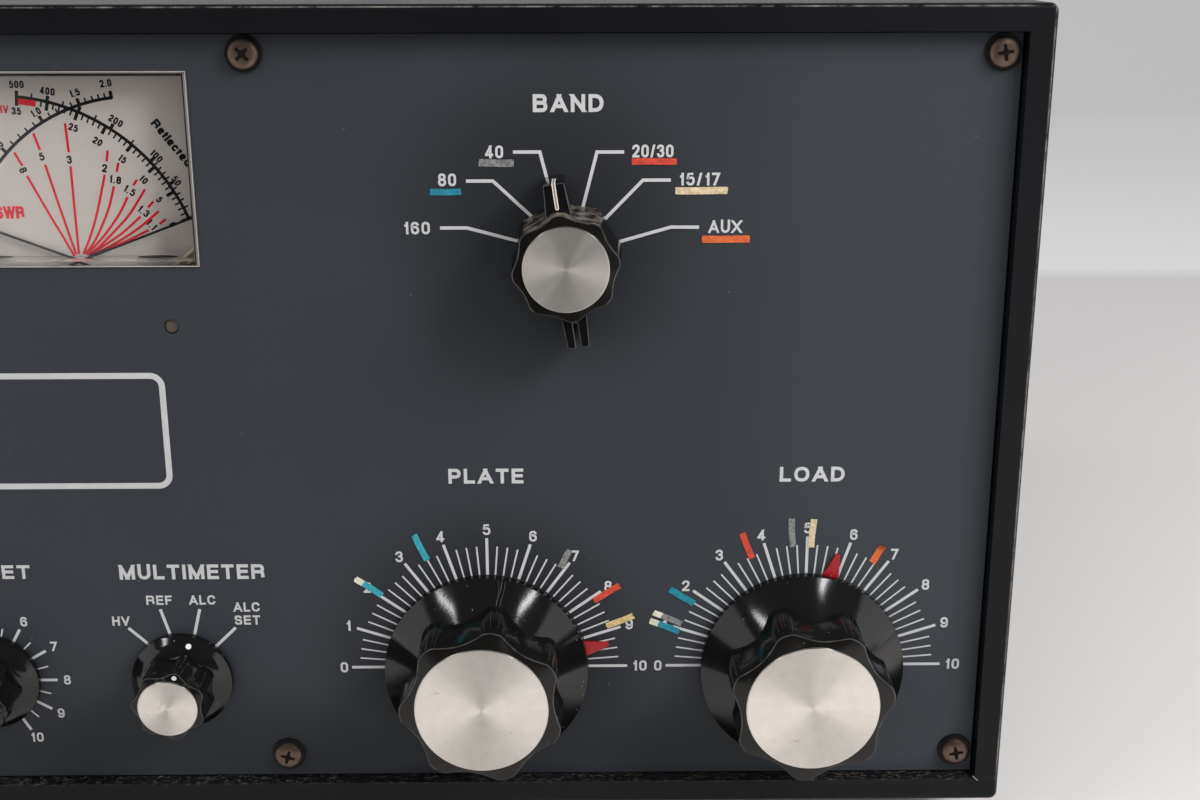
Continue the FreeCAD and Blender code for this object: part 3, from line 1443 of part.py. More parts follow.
def build_inside():
    """Tube deck, tube, output coil, power supply and relay."""
    save("tube_deck", tube_deck())
    save("tube_socket", tube_socket())
    save("power_tube", *power_tube())
    save("anode_cooler", anode_cooler())
    save("tank_coil", *tank_coil())
    save("transformer_core", transformer_core())
    save("transformer_windings", transformer_windings())
    save("capacitor_board", capacitor_board())
    save("filter_capacitors", *filter_capacitors())
    save("antenna_relay", antenna_relay())


def build_rear():
    """Fan and the fittings of the rear panel."""
    save("fan_frame", on_rear(fan_frame(), fan_x, fan_z))
    save("fan_rotor", on_rear(fan_rotor(), fan_x, fan_z))
    save("coax_sockets", *[on_rear(coax_socket(), x, rear_row_z) for x in (rf_in_x, rf_out_x)])
    save("phono_jacks", *[on_rear(phono_jack(), x, rear_row_z) for x in jack_xs()])
    save("ground_post", *[on_rear(s, post_x, rear_row_z) for s in ground_post()])
    save("fuse_holders", *[on_rear(fuse_holder(), x, rear_row_z) for x in fuse_xs()])
    save("cord_gland", on_rear(cord_gland(), gland_x, rear_row_z))


os.makedirs("parts", exist_ok=True)
build_cabinet()
build_controls()
build_meters()
build_inside()
build_rear()
print(f"overall depth {overall_depth:.2f}, front lip at y {lip_y:.3f}, panel face at y {panel_y:.3f}")
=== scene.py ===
"""Looks of the HF linear amplifier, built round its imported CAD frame.

Everything is in metres in the frame of the CAD part: +X to the right of somebody facing the
panel, +Y to the back, +Z up. Panel places are given in millimetres as (x, z), x from the
cabinet's middle and z from its underside.
"""

import logging
import math
import random
from dataclasses import dataclass, field
from enum import Enum

import bmesh
import bpy
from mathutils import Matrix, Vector

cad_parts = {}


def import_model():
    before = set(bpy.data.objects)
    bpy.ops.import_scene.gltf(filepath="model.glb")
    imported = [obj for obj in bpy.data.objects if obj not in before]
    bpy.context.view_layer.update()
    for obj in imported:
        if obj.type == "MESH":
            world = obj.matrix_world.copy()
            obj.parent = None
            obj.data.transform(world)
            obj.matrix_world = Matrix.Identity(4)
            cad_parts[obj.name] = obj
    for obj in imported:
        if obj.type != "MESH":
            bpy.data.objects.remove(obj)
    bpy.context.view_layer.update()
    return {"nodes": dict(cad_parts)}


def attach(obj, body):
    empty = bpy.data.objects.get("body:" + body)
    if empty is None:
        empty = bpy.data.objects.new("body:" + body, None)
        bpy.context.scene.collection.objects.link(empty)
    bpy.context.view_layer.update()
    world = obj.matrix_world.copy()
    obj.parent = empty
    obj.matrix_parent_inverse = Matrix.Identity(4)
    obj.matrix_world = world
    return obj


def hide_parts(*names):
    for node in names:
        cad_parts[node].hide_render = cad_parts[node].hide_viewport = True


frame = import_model()

log = logging.getLogger("amplifier")

MM = 0.001
FOOT = 12.7                   # underside of the cabinet above the table
PANEL_Y = -172.55             # panel's painted face
LIP_Y = -176.55               # face of the front frame
CABINET = "cabinet"           # body that everything fixed rides on

Point = tuple[float, float]
Loop = list[Point]
Triple = tuple[float, float, float]
Face = tuple[int, ...]
Tree = bpy.types.NodeTree
Node = bpy.types.Node
Socket = bpy.types.NodeSocket
Material = bpy.types.Material
Piece = bpy.types.Object


# ---------------------------------------------------------------- small helpers
def linear(code: str) -> tuple[float, float, float, float]:
    """Turn an sRGB hex colour into linear RGBA.

    Args:
        code: Colour such as "#3A3D42".

    Returns:
        Linear red, green, blue and an alpha of 1.
    """
    parts = [int(code[i:i + 2], 16) / 255 for i in (1, 3, 5)]
    out = [c / 12.92 if c <= 0.04045 else ((c + 0.055) / 1.055) ** 2.4 for c in parts]
    return out[0], out[1], out[2], 1.0


def world(x: float, z: float, h: float) -> Vector:
    """Turn a panel place x, z and its height h out of the panel's face into metres."""
    return Vector((x * MM, (PANEL_Y - h) * MM, (FOOT + z) * MM))


def feed(tree: Tree, node: Node, links: dict) -> None:
    """Link a node's inputs.

    Args:
        tree: Tree that holds the node.
        node: Node that is fed.
        links: Input socket name or index to an output socket, or to a node for its first output.
    """
    for key, source in links.items():
        if isinstance(source, bpy.types.Node):
            source = source.outputs[0]
        tree.links.new(source, node.inputs[key])


# A colour Mix takes its share at input 0 and its colours at 6 and 7, and gives output 2.
def add_node(tree: Tree, kind: str, values: dict | None = None, links: dict | None = None,
             **settings: object) -> Node:
    """Add one node with its settings, socket values and incoming links.

    Args:
        tree: Node tree that gets the node.
        kind: Blender's node type name; a shader node's goes without its "ShaderNode".
        values: Input socket name or index to its value.
        links: What feeds its inputs, as for feed.
        **settings: Attributes of the node itself.

    Returns:
        The new node.
    """
    node = tree.nodes.new(kind if "Node" in kind else "ShaderNode" + kind)
    for key, value in settings.items():
        setattr(node, key, value)
    for key, value in (values or {}).items():
        node.inputs[key].default_value = value
    feed(tree, node, links or {})
    return node


def mesh_object(name: str, verts: list[Vector], faces: list[Face], finish: Material,
                smooth: float | None = None) -> Piece:
    """Make and link a mesh object at the origin.

    Args:
        name: Piece name.
        verts: Corners in metres.
        faces: Corner indices of each face.
        finish: Its material.
        smooth: Angle in degrees under which edges are shaded smooth, or None for flat faces.

    Returns:
        The new object.
    """
    data = bpy.data.meshes.new(name)
    data.from_pydata([tuple(v) for v in verts], [], faces)
    data.materials.append(finish)
    if smooth is not None:
        data.shade_smooth()
        data.set_sharp_from_angle(angle=math.radians(smooth))
    data.update()
    obj = bpy.data.objects.new(name, data)
    bpy.context.scene.collection.objects.link(obj)
    return obj


def walls(start: int, rows: int, count: int, wrap: bool = False) -> list[Face]:
    """Join rings of points that follow each other with quads.

    Args:
        start: Index of the first ring's first point.
        rows: How many rings there are.
        count: Points in a ring.
        wrap: Whether the last ring joins the first.

    Returns:
        The faces.
    """
    out: list[Face] = []
    for row in range(rows if wrap else rows - 1):
        a, b = start + row * count, start + (row + 1) % rows * count
        out += [(a + k, a + (k + 1) % count, b + (k + 1) % count, b + k) for k in range(count)]
    return out


def applied(obj: Piece) -> Piece:
    """Turn an object's live modifiers into its plain mesh.

    Args:
        obj: Object whose evaluated mesh is wanted.

    Returns:
        The same object with that mesh and no modifiers.
    """
    graph = bpy.context.evaluated_depsgraph_get()
    data = bpy.data.meshes.new_from_object(obj.evaluated_get(graph))
    data.name = obj.name
    obj.modifiers.clear()
    obj.data = data
    return obj


def seat(obj: Piece, body: str, *nodes: str, slot: str | None = None) -> Piece:
    """Let a piece ride on its body and stand for its CAD nodes.

    Args:
        obj: Finished piece.
        body: Name of the CAD body it moves with.
        *nodes: CAD nodes that it replaces.
        slot: Material slot of the record; not used.

    Returns:
        The same object.
    """
    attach(obj, body)
    if nodes:
        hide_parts(*nodes)
    log.info("%s rides on %s", obj.name, body)
    return obj


# ---------------------------------------------------------------- finishes
class Grain(Enum):
    """Kinds of fine surface relief."""

    NONE = 0
    ORANGE_PEEL = 1
    BRUSHED = 2
    CAST = 3


class Coating:
    """What a piece is made of: one material, built once under its name."""

    name: str

    def build(self) -> Material:
        """Build the material once and return it on later calls.

        Returns:
            The node material.
        """
        if self.name in bpy.data.materials:
            return bpy.data.materials[self.name]
        mat = bpy.data.materials.new(self.name)
        mat.use_nodes = True
        tree = mat.node_tree
        place = add_node(tree, "TexCoord").outputs["Object"]
        self.lay(tree, tree.nodes["Principled BSDF"], place)
        return mat

    def lay(self, tree: Tree, shader: Node, place: Socket) -> None:
        """Set the shader up; every finish has its own way.

        Args:
            tree: The material's tree.
            shader: Its Principled shader.
            place: Object coordinates.
        """
        raise NotImplementedError


@dataclass(frozen=True)
class Finish(Coating):
    """A painted, moulded or plain metal finish with uneven colour, gloss and fine relief."""

    name: str
    colour: str
    second: str
    roughness: float = 0.4
    metallic: float = 0.0
    patch_mm: float = 18.0        # size of the patches in which the colour drifts
    grain: Grain = Grain.ORANGE_PEEL
    grain_mm: float = 0.6
    relief: float = 0.05
    coat: float = 0.0
    ior: float = 1.5
    sharp: float = 0.0            # 0 drifts softly between the two colours, 1 nearly parts them
    dust: float = 0.0             # how strongly dust specks show

    def build(self) -> Material:
        """Build the material and give it its plain colour for previews.

        Returns:
            The node material.
        """
        mat = super().build()
        mat.diffuse_color = linear(self.colour)
        return mat

    def lay(self, tree: Tree, shader: Node, place: Socket) -> None:
        """Let colour and gloss drift in patches, with dust and relief over them.

        Args:
            tree: The material's tree.
            shader: Its Principled shader.
            place: Object coordinates.
        """
        patches = add_node(tree, "TexNoise", {"Scale": 1000 / self.patch_mm, "Detail": 4.0},
            {"Vector": place})
        split = add_node(tree, "MapRange",
            {"From Min": 0.45 * self.sharp, "From Max": 1.0 - 0.45 * self.sharp},
            {"Value": patches})
        mix = add_node(tree, "Mix", {6: linear(self.colour), 7: linear(self.second)}, {0: split},
            data_type="RGBA")
        rough = add_node(tree, "MapRange",
            {"To Min": self.roughness * 0.85, "To Max": self.roughness * 1.15}, {"Value": patches})
        feed(tree, shader, {"Base Color": self.add_dust(tree, place, mix.outputs[2]),
            "Roughness": rough})
        shader.inputs["Metallic"].default_value = self.metallic
        if self.metallic < 0.5:
            shader.inputs["IOR"].default_value = self.ior
        shader.inputs["Coat Weight"].default_value = self.coat
        self.add_relief(tree, shader, place)

    def add_dust(self, tree: Tree, place: Socket, colour: Socket) -> Socket:
        """Scatter pale specks over the colour.

        Args:
            tree: The material's tree.
            place: Object coordinates.
            colour: Colour without dust.

        Returns:
            Socket with the dusty colour.
        """
        if not self.dust:
            return colour
        # Specks are about 0.1 mm across and drawn at 0.25 mm so that they show.
        cells = add_node(tree, "TexVoronoi", {"Scale": 620.0}, {"Vector": place}).outputs
        dot = add_node(tree, "MapRange",
            {"From Min": 0.06, "From Max": 0.12, "To Min": self.dust, "To Max": 0.0},
            {"Value": cells["Distance"]})
        rare = add_node(tree, "SeparateXYZ", {}, {0: cells["Color"]}).outputs["X"]
        # They gather in clouds of about 11 mm.
        clouds = add_node(tree, "TexNoise", {"Scale": 90.0, "Detail": 2.0}, {"Vector": place})
        limit = add_node(tree, "MapRange",
            {"From Min": 0.4, "From Max": 0.65, "To Min": 1.0, "To Max": 0.55}, {"Value": clouds})
        some = add_node(tree, "Math", {}, {0: rare, 1: limit}, operation="GREATER_THAN")
        share = add_node(tree, "Math", {}, {0: dot, 1: some}, operation="MULTIPLY")
        return add_node(tree, "Mix", {7: linear("#A8A49E")}, {0: share, 6: colour},
            data_type="RGBA").outputs[2]

    def add_relief(self, tree: Tree, shader: Node, place: Socket) -> None:
        """Add the fine bump of the surface.

        Args:
            tree: The material's tree.
            shader: Its Principled shader.
            place: Object coordinates.
        """
        if self.grain is Grain.NONE:
            return
        stretch = (0.04, 1.0, 1.0) if self.grain is Grain.BRUSHED else (1.0, 1.0, 1.0)
        mapped = add_node(tree, "Mapping", {"Scale": stretch}, {"Vector": place})
        detail = 6.0 if self.grain is Grain.CAST else 2.0
        fine = add_node(tree, "TexNoise", {"Scale": 1000 / self.grain_mm, "Detail": detail},
            {"Vector": mapped})
        bump = add_node(tree, "Bump", {"Strength": self.relief, "Distance": 0.0002},
            {"Height": fine})
        feed(tree, shader, {"Normal": bump})


@dataclass(frozen=True)
class CabinetEnamel(Coating):
    """Satin black baked enamel on steel, rubbed through to brown along the folded edges."""

    name: str = "satin_black_enamel"
    colour: str = "#0B0C0E"
    drift: str = "#121315"
    rubbed: str = "#8A827A"       # bare primer and steel where hands and cloths have rubbed
    rust: str = "#7C746B"
    side: float = 177.05          # rubbed bends: to either side of the middle
    top: float = 202.55           # and above the underside
    floor: float = 6.35           # scuffed floor of the recess, above the underside

    def lay(self, tree: Tree, shader: Node, place: Socket) -> None:
        """Lay the paint, then its rubbed bends and the scuffs under the panel.

        Args:
            tree: The material's tree.
            shader: Its Principled shader.
            place: Object coordinates.
        """
        # The paint drifts over about 70 mm, and its orange peel is about 1 mm.
        patches = add_node(tree, "TexNoise", {"Scale": 14.0, "Detail": 5.0}, {"Vector": place})
        paint = add_node(tree, "Mix", {6: linear(self.colour), 7: linear(self.drift)}, {0: patches},
            data_type="RGBA")
        worn = add_node(tree, "Mix", {7: linear(self.rubbed)},
            {0: self.edge_wear(tree, place), 6: paint.outputs[2]}, data_type="RGBA")
        brown = add_node(tree, "Mix", {7: linear(self.rust)},
            {0: self.scuffs(tree, place), 6: worn.outputs[2]}, data_type="RGBA")
        rough = add_node(tree, "MapRange", {"To Min": 0.30, "To Max": 0.42}, {"Value": patches})
        peel = add_node(tree, "TexNoise", {"Scale": 900.0, "Detail": 2.0}, {"Vector": place})
        bump = add_node(tree, "Bump", {"Strength": 0.06, "Distance": 0.0002}, {"Height": peel})
        feed(tree, shader, {"Base Color": brown.outputs[2], "Roughness": rough, "Normal": bump})
        shader.inputs["IOR"].default_value = 1.24

    @staticmethod
    def line_mask(tree: Tree, value: Socket, at: float, width: float) -> Socket:
        """Mask that is 1 where a coordinate is close to a value.

        Args:
            tree: The material's tree.
            value: Coordinate in metres.
            at: Where the line lies, in millimetres.
            width: Half its width, in millimetres.

        Returns:
            Socket with the mask.
        """
        away = add_node(tree, "Math", {1: at * MM}, {0: value}, operation="SUBTRACT")
        size = add_node(tree, "Math", {}, {0: away}, operation="ABSOLUTE")
        return add_node(tree, "MapRange",
            {"From Min": 0.0, "From Max": width * MM, "To Min": 1.0, "To Max": 0.0},
            {"Value": size}).outputs[0]

    def edge_wear(self, tree: Tree, place: Socket) -> Socket:
        """Broken light line along the frame's outer bends.

        Args:
            tree: The material's tree.
            place: Object coordinates.

        Returns:
            Socket with the wear mask.
        """
        parts = add_node(tree, "SeparateXYZ", {}, {0: place}).outputs
        across = add_node(tree, "Math", {}, {0: parts["X"]}, operation="ABSOLUTE").outputs[0]
        side = self.line_mask(tree, across, self.side, 0.30)
        top = self.line_mask(tree, parts["Z"], FOOT + self.top, 0.22)
        front = self.line_mask(tree, parts["Y"], LIP_Y, 1.1)
        lines = add_node(tree, "Math", {}, {0: side, 1: top}, operation="MAXIMUM")
        # It breaks up every 6 mm or so.
        breaks = add_node(tree, "TexNoise", {"Scale": 160.0, "Detail": 6.0, "Roughness": 0.7},
            {"Vector": place})
        holes = add_node(tree, "MapRange", {"From Min": 0.40, "From Max": 0.66}, {"Value": breaks})
        kept = add_node(tree, "Math", {}, {0: lines, 1: holes}, operation="MULTIPLY")
        return add_node(tree, "Math", {}, {0: kept, 1: front}, operation="MULTIPLY").outputs[0]

    def scuffs(self, tree: Tree, place: Socket) -> Socket:
        """Brown scuffs on the floor of the recess, under the panel.

        Args:
            tree: The material's tree.
            place: Object coordinates.

        Returns:
            Socket with the scuff mask.
        """
        parts = add_node(tree, "SeparateXYZ", {}, {0: place}).outputs
        level = self.line_mask(tree, parts["Z"], FOOT + self.floor, 0.5)
        mapped = add_node(tree, "Mapping", {"Scale": (0.5, 1.0, 1.0)}, {"Vector": place})
        # Streaks are about 0.7 mm apart.
        streaks = add_node(tree, "TexNoise", {"Scale": 1500.0, "Detail": 5.0, "Roughness": 0.75},
            {"Vector": mapped})
        cut = add_node(tree, "MapRange", {"From Min": 0.52, "From Max": 0.72, "To Max": 0.55},
            {"Value": streaks})
        return add_node(tree, "Math", {}, {0: level, 1: cut}, operation="MULTIPLY").outputs[0]


@dataclass(frozen=True)
class PanelEnamel(Coating):
    """Matt blue-grey enamel, sprayed; faintly mottled, with a few dust specks.

    Its tone is uneven by painted light and shade, a choice of looks that stands for no wear that is
    known:
    paler towards the right end is painted light, and darker low down and round BAND and PLATE is
    painted shade.
    """

    name: str = "blue_grey_panel_enamel"
    colour: str = "#2C2F33"
    drift: str = "#313439"
    speck: str = "#6A6C6E"
    # Painted light and painted shade: the tones that the paler right end and the darker areas lean
    # to.
    pale: str = "#33373B"         # towards the right end
    dark: str = "#0E0F10"         # what the darker areas lean to
    # Painted light at the paler right end and painted shade along the lower strip, its own paler
    # foot and the strip's right end, each as axis, place where the step starts, place where it is
    # full (mm) and how full.
    steps: tuple[tuple[str, float, float, float], ...] = (("X", 95.0, 135.0, 1.0),
        ("Z", FOOT + 36, FOOT + 14, 1.0), ("Z", FOOT + 4, FOOT + 13, 1.0), ("X", 135.0, 108.0, 0.5))
    # Painted shade round BAND and PLATE: x, z, radius where full, radius where gone, strength.
    spots: tuple[tuple[float, ...], ...] = ((61.7, 154.5, 12.0, 48.0, 0.5),
        (45.1, 37.5, 25.0, 52.0, 0.5))

    def lay(self, tree: Tree, shader: Node, place: Socket) -> None:
        """Lay the paint with its dust specks.

        Args:
            tree: The material's tree.
            shader: Its Principled shader.
            place: Object coordinates.
        """
        # The paint drifts over about 45 mm, and its spray grain is about 0.8 mm.
        broad = add_node(tree, "TexNoise", {"Scale": 22.0, "Detail": 5.0, "Roughness": 0.6},
            {"Vector": place})
        paint = add_node(tree, "Mix", {6: linear(self.colour), 7: linear(self.drift)}, {0: broad},
            data_type="RGBA")
        # Dust specks are about 0.15 mm across and drawn at 0.3 mm so that they show.
        cells = add_node(tree, "TexVoronoi", {"Scale": 210.0}, {"Vector": place}).outputs
        dot = add_node(tree, "MapRange",
            {"From Min": 0.035, "From Max": 0.06, "To Min": 1.0, "To Max": 0.0},
            {"Value": cells["Distance"]})
        rare = add_node(tree, "SeparateXYZ", {}, {0: cells["Color"]}).outputs["X"]
        some = add_node(tree, "Math", {1: 0.93}, {0: rare}, operation="GREATER_THAN")
        dust = add_node(tree, "Math", {}, {0: dot, 1: some}, operation="MULTIPLY")
        soft = add_node(tree, "Math", {1: 0.55}, {0: dust}, operation="MULTIPLY")
        specks = add_node(tree, "Mix", {7: linear(self.speck)},
            {0: soft, 6: self.uneven(tree, place, paint.outputs[2])}, data_type="RGBA")
        rough = add_node(tree, "MapRange", {"To Min": 0.46, "To Max": 0.58}, {"Value": broad})
        peel = add_node(tree, "TexNoise", {"Scale": 1300.0, "Detail": 2.0}, {"Vector": place})
        bump = add_node(tree, "Bump", {"Strength": 0.05, "Distance": 0.0002}, {"Height": peel})
        feed(tree, shader, {"Base Color": specks.outputs[2], "Roughness": rough, "Normal": bump})
        shader.inputs["IOR"].default_value = 1.32

    def uneven(self, tree: Tree, place: Socket, paint: Socket) -> Socket:
        """Paint light and shade into the colour: painted light towards the right, painted shade low
        down and round BAND and PLATE.

        Args:
            tree: The material's tree.
            place: Object coordinates.
            paint: Colour of the even paint.

        Returns:
            Socket with the uneven colour.
        """
        axes = add_node(tree, "SeparateXYZ", {}, {0: place}).outputs
        right, low, foot, left = (add_node(tree, "MapRange",
            {"From Min": start * MM, "From Max": end * MM, "To Max": depth}, {"Value": axes[axis]},
            interpolation_type="SMOOTHSTEP") for axis, start, end, depth in self.steps)
        # Painted light: paler towards the right end.
        painted_light_right = add_node(tree, "Mix", {7: linear(self.pale)}, {0: right, 6: paint},
            data_type="RGBA")
        flat = add_node(tree, "CombineXYZ", {"Y": 0.0}, {"X": axes["X"], "Z": axes["Z"]})
        # Painted shade: darker along the lower strip and round BAND and PLATE.
        share = add_node(tree, "Math", {}, {0: low, 1: left}, operation="MULTIPLY")
        share = add_node(tree, "Math", {}, {0: share, 1: foot}, operation="MULTIPLY")
        for x, z, near, far, depth in self.spots:
            reach = add_node(tree, "VectorMath", {1: (x * MM, 0.0, (FOOT + z) * MM)}, {0: flat},
                operation="DISTANCE").outputs["Value"]
            spot = add_node(tree, "MapRange",
                {"From Min": far * MM, "From Max": near * MM, "To Max": depth}, {"Value": reach},
                interpolation_type="SMOOTHSTEP")
            share = add_node(tree, "Math", {}, {0: share, 1: spot}, operation="MAXIMUM")
        return add_node(tree, "Mix", {7: linear(self.dark)}, {0: share, 6: painted_light_right.outputs[2]},
            data_type="RGBA").outputs[2]


@dataclass(frozen=True)
class SpunAluminium(Coating):
    """Turned aluminium disc: fine rings round its middle that throw bright radial fans of light."""

    name: str
    centre: Triple
    colour: str = "#EEE9E3"
    shade: str = "#DAD4CD"
    nick: str = "#7E6F62"
    roughness: float = 0.40
    lengthwise: float = 0.88      # how strongly the rings stretch the light

    def lay(self, tree: Tree, shader: Node, place: Socket) -> None:
        """Turn the rings, then stain and nick them a little.

        Args:
            tree: The material's tree.
            shader: Its Principled shader.
            place: Object coordinates.
        """
        arm = add_node(tree, "VectorMath", {1: self.centre}, {0: place}, operation="SUBTRACT")
        parts = add_node(tree, "SeparateXYZ", {}, {0: arm}).outputs
        flat = add_node(tree, "CombineXYZ", {"Y": 0.0}, {"X": parts["X"], "Z": parts["Z"]})
        reach = add_node(tree, "VectorMath", {}, {0: flat}, operation="LENGTH").outputs["Value"]
        rings = add_node(tree, "CombineXYZ", {"Y": 0.0, "Z": 0.0}, {"X": reach})
        # Tool rings are about 0.05 mm apart and drawn at 0.12 mm so that they show.
        lathe = add_node(tree, "TexNoise", {"Scale": 8000.0, "Detail": 2.0}, {"Vector": rings})
        angle = add_node(tree, "Math", {}, {0: parts["Z"], 1: parts["X"]}, operation="ARCTAN2")
        turn = add_node(tree, "CombineXYZ", {"Y": 3.0, "Z": 0.0}, {"X": angle})
        chatter = add_node(tree, "TexNoise", {"Scale": 9.0, "Detail": 3.0}, {"Vector": turn})
        stain = add_node(tree, "TexNoise", {"Scale": 330.0, "Detail": 4.0}, {"Vector": place})
        half = add_node(tree, "Math", {1: 0.5}, {0: chatter}, operation="MULTIPLY")
        blend = add_node(tree, "Math", {}, {0: stain, 1: half}, operation="ADD")
        mix = add_node(tree, "Mix", {6: linear(self.colour), 7: linear(self.shade)}, {0: blend},
            data_type="RGBA")
        # Small stains and nicks are about 0.4 mm across and sit in loose groups.
        nicks = add_node(tree, "TexNoise", {"Scale": 900.0, "Detail": 3.0, "Roughness": 0.7},
            {"Vector": place})
        groups = add_node(tree, "TexNoise", {"Scale": 150.0, "Detail": 1.0}, {"Vector": place})
        both = add_node(tree, "Math", {}, {0: nicks, 1: groups}, operation="MULTIPLY")
        marks = add_node(tree, "MapRange", {"From Min": 0.40, "From Max": 0.47, "To Max": 0.4},
            {"Value": both})
        marked = add_node(tree, "Mix", {7: linear(self.nick)}, {0: marks, 6: mix.outputs[2]},
            data_type="RGBA")
        across = add_node(tree, "VectorMath", {}, {0: flat}, operation="NORMALIZE")
        bump = add_node(tree, "Bump", {"Strength": 0.08, "Distance": 0.0001}, {"Height": lathe})
        feed(tree, shader, {"Base Color": marked.outputs[2], "Tangent": across, "Normal": bump})
        for name, value in (("Metallic", 1.0), ("Roughness", self.roughness),
                            ("Anisotropic", self.lengthwise)):
            shader.inputs[name].default_value = value


@dataclass(frozen=True)
class ClearAcrylic(Coating):
    """Moulded clear acrylic: sharp see-through front with bright polished edges."""

    name: str = "clear_acrylic"
    colour: str = "#FBFBFA"
    mirror: str = "#E4E0DB"       # side walls: what they throw back
    milk: str = "#CFC9C2"         # and how they glow
    shade: float = 0.94           # light that passes for a shadow

    def lay(self, tree: Tree, shader: Node, place: Socket) -> None:
        """Clear the front, and silver the side walls.

        Args:
            tree: The material's tree.
            shader: Its Principled shader.
            place: Object coordinates.
        """
        # Wiped smears are about 17 mm across.
        smear = add_node(tree, "TexNoise", {"Scale": 60.0, "Detail": 4.0}, {"Vector": place})
        rough = add_node(tree, "MapRange", {"To Min": 0.0, "To Max": 0.03}, {"Value": smear})
        feed(tree, shader, {"Roughness": rough})
        for name, value in (("Base Color", linear(self.colour)), ("IOR", 1.49),
                            ("Transmission Weight", 1.0)):
            shader.inputs[name].default_value = value
        clear = add_node(tree, "BsdfTransparent", {"Color": (*[self.shade] * 3, 1.0)})
        shadow = add_node(tree, "LightPath").outputs["Is Shadow Ray"]
        front = add_node(tree, "MixShader", {}, {0: shadow, 1: shader, 2: clear})
        mirror = add_node(tree, "BsdfAnisotropic",
            {"Color": linear(self.mirror), "Roughness": 0.05})
        milky = add_node(tree, "BsdfDiffuse", {"Color": linear(self.milk)})
        side = add_node(tree, "MixShader", {0: 0.3}, {1: mirror, 2: milky})
        whole = add_node(tree, "MixShader", {}, {0: self.side_walls(tree), 1: front, 2: side})
        feed(tree, tree.nodes["Material Output"], {"Surface": whole})

    @staticmethod
    def side_walls(tree: Tree) -> Socket:
        """Mask that is 1 on the side walls, which throw the dial's image back like a light pipe.

        Args:
            tree: The material's tree.

        Returns:
            Socket with the mask.
        """
        facing = add_node(tree, "TexCoord").outputs["Normal"]
        forward = add_node(tree, "SeparateXYZ", {}, {0: facing}).outputs["Y"]
        size = add_node(tree, "Math", {}, {0: forward}, operation="ABSOLUTE")
        return add_node(tree, "Math", {1: 0.5}, {0: size}, operation="LESS_THAN").outputs[0]


ENAMEL = CabinetEnamel()
PANEL = PanelEnamel()
ACRYLIC = ClearAcrylic()
# Compression-moulded phenolic: near-black and glossy, with dust that shows as pale specks.
PHENOLIC = Finish("black_phenolic", "#080808", "#100F0F", 0.11, patch_mm=7.0, grain_mm=0.5,
    dust=0.5)
# The same where hands have dulled it: a browner, softer shine.
GRIP_FACE = Finish("black_phenolic_face", "#0A0908", "#12100D", 0.22, patch_mm=5.0, grain_mm=0.3,
    relief=0.08, ior=1.38, dust=0.25)
# Its corners: a grey line, partly rubbed wear and partly painted highlight; and its top where dust
# has settled in the flutes.
WORN_AND_HIGHLIT_EDGE = Finish("rubbed_phenolic_edge", "#211F1E", "#4C4946", 0.2, patch_mm=2.5, grain_mm=0.3,
    sharp=0.6)
DUSTY_PHENOLIC = Finish("dusty_phenolic", "#0C0B0A", "#564E46", 0.3, patch_mm=2.8, grain=Grain.CAST,
    grain_mm=0.4, relief=0.2, sharp=0.93, dust=0.6)
# Screen inks: flat, even and dull; the black one almost without shine.
WHITE_INK = Finish("white_screen_ink", "#BEBCBB", "#ADABAA", 0.62, patch_mm=3.0, grain_mm=0.3,
    relief=0.04)
BLACK_INK = Finish("black_scale_ink", "#0E0E11", "#18181B", 0.6, patch_mm=2.0, grain_mm=0.3,
    relief=0.03, ior=1.18)
RED_INK = Finish("red_scale_ink", "#DE0F2C", "#C80C26", 0.55, patch_mm=2.0, grain_mm=0.3,
    relief=0.03, ior=1.18)
# Brushed-on gloss paint: deep red with a slight shine and dust.
RED_PAINT = Finish("red_pointer_paint", "#970A16", "#800811", 0.32, patch_mm=4.0, relief=0.08,
    dust=0.9)
# Brass-plated steel screws, browned with age, and the painted shade that fills their recesses,
# which has no shine.
SCREW_STEEL = Finish("aged_screw_steel", "#7A675C", "#463A33", 0.42, 0.85, patch_mm=1.6,
    grain=Grain.CAST, grain_mm=0.5, relief=0.25)
SCREW_RECESS_SHADE = Finish("screw_recess_dirt", "#0E0B09", "#1C1613", 0.8, patch_mm=1.0, ior=1.2)
# Black oxide on steel: a dull black ring.
WASHER_BLACK = Finish("black_oxide_washer", "#08080A", "#111113", 0.5, patch_mm=2.0, grain_mm=0.4,
    ior=1.3)
# Flat off-white enamel on the dial plate, and thick white paint rubbed into cuts.
DIAL_ENAMEL = Finish("meter_dial_enamel", "#C6BDB8", "#BDB5B0", 0.55, patch_mm=30.0, grain_mm=0.5,
    relief=0.02)
WHITE_FILL = Finish("white_paint_fill", "#D8D3CC", "#BEB6AC", 0.6, patch_mm=0.8, grain_mm=0.2,
    relief=0.1)
# Moulded plastics: soft even sheens, from the rockers' brighter ABS to duller nylon and rubber.
METER_BLACK = Finish("black_styrene", "#101012", "#18181A", patch_mm=12.0, grain_mm=0.4)
ABS_BLACK = Finish("black_abs", "#131315", "#1C1C1F", 0.36, patch_mm=10.0, grain_mm=0.5,
    relief=0.08)
NYLON_BLACK = Finish("black_nylon", "#17171A", "#1F1F22", 0.5, patch_mm=9.0, grain_mm=0.4)
RUBBER = Finish("black_rubber", "#17171A", "#222224", 0.75, patch_mm=8.0, grain=Grain.CAST,
    relief=0.15)
# Clear-coated red lens: a small sharp highlight.
LAMP_RED = Finish("red_lamp_lens", "#A3201C", "#7E1613", 0.15, patch_mm=3.0, grain=Grain.NONE,
    coat=0.5)
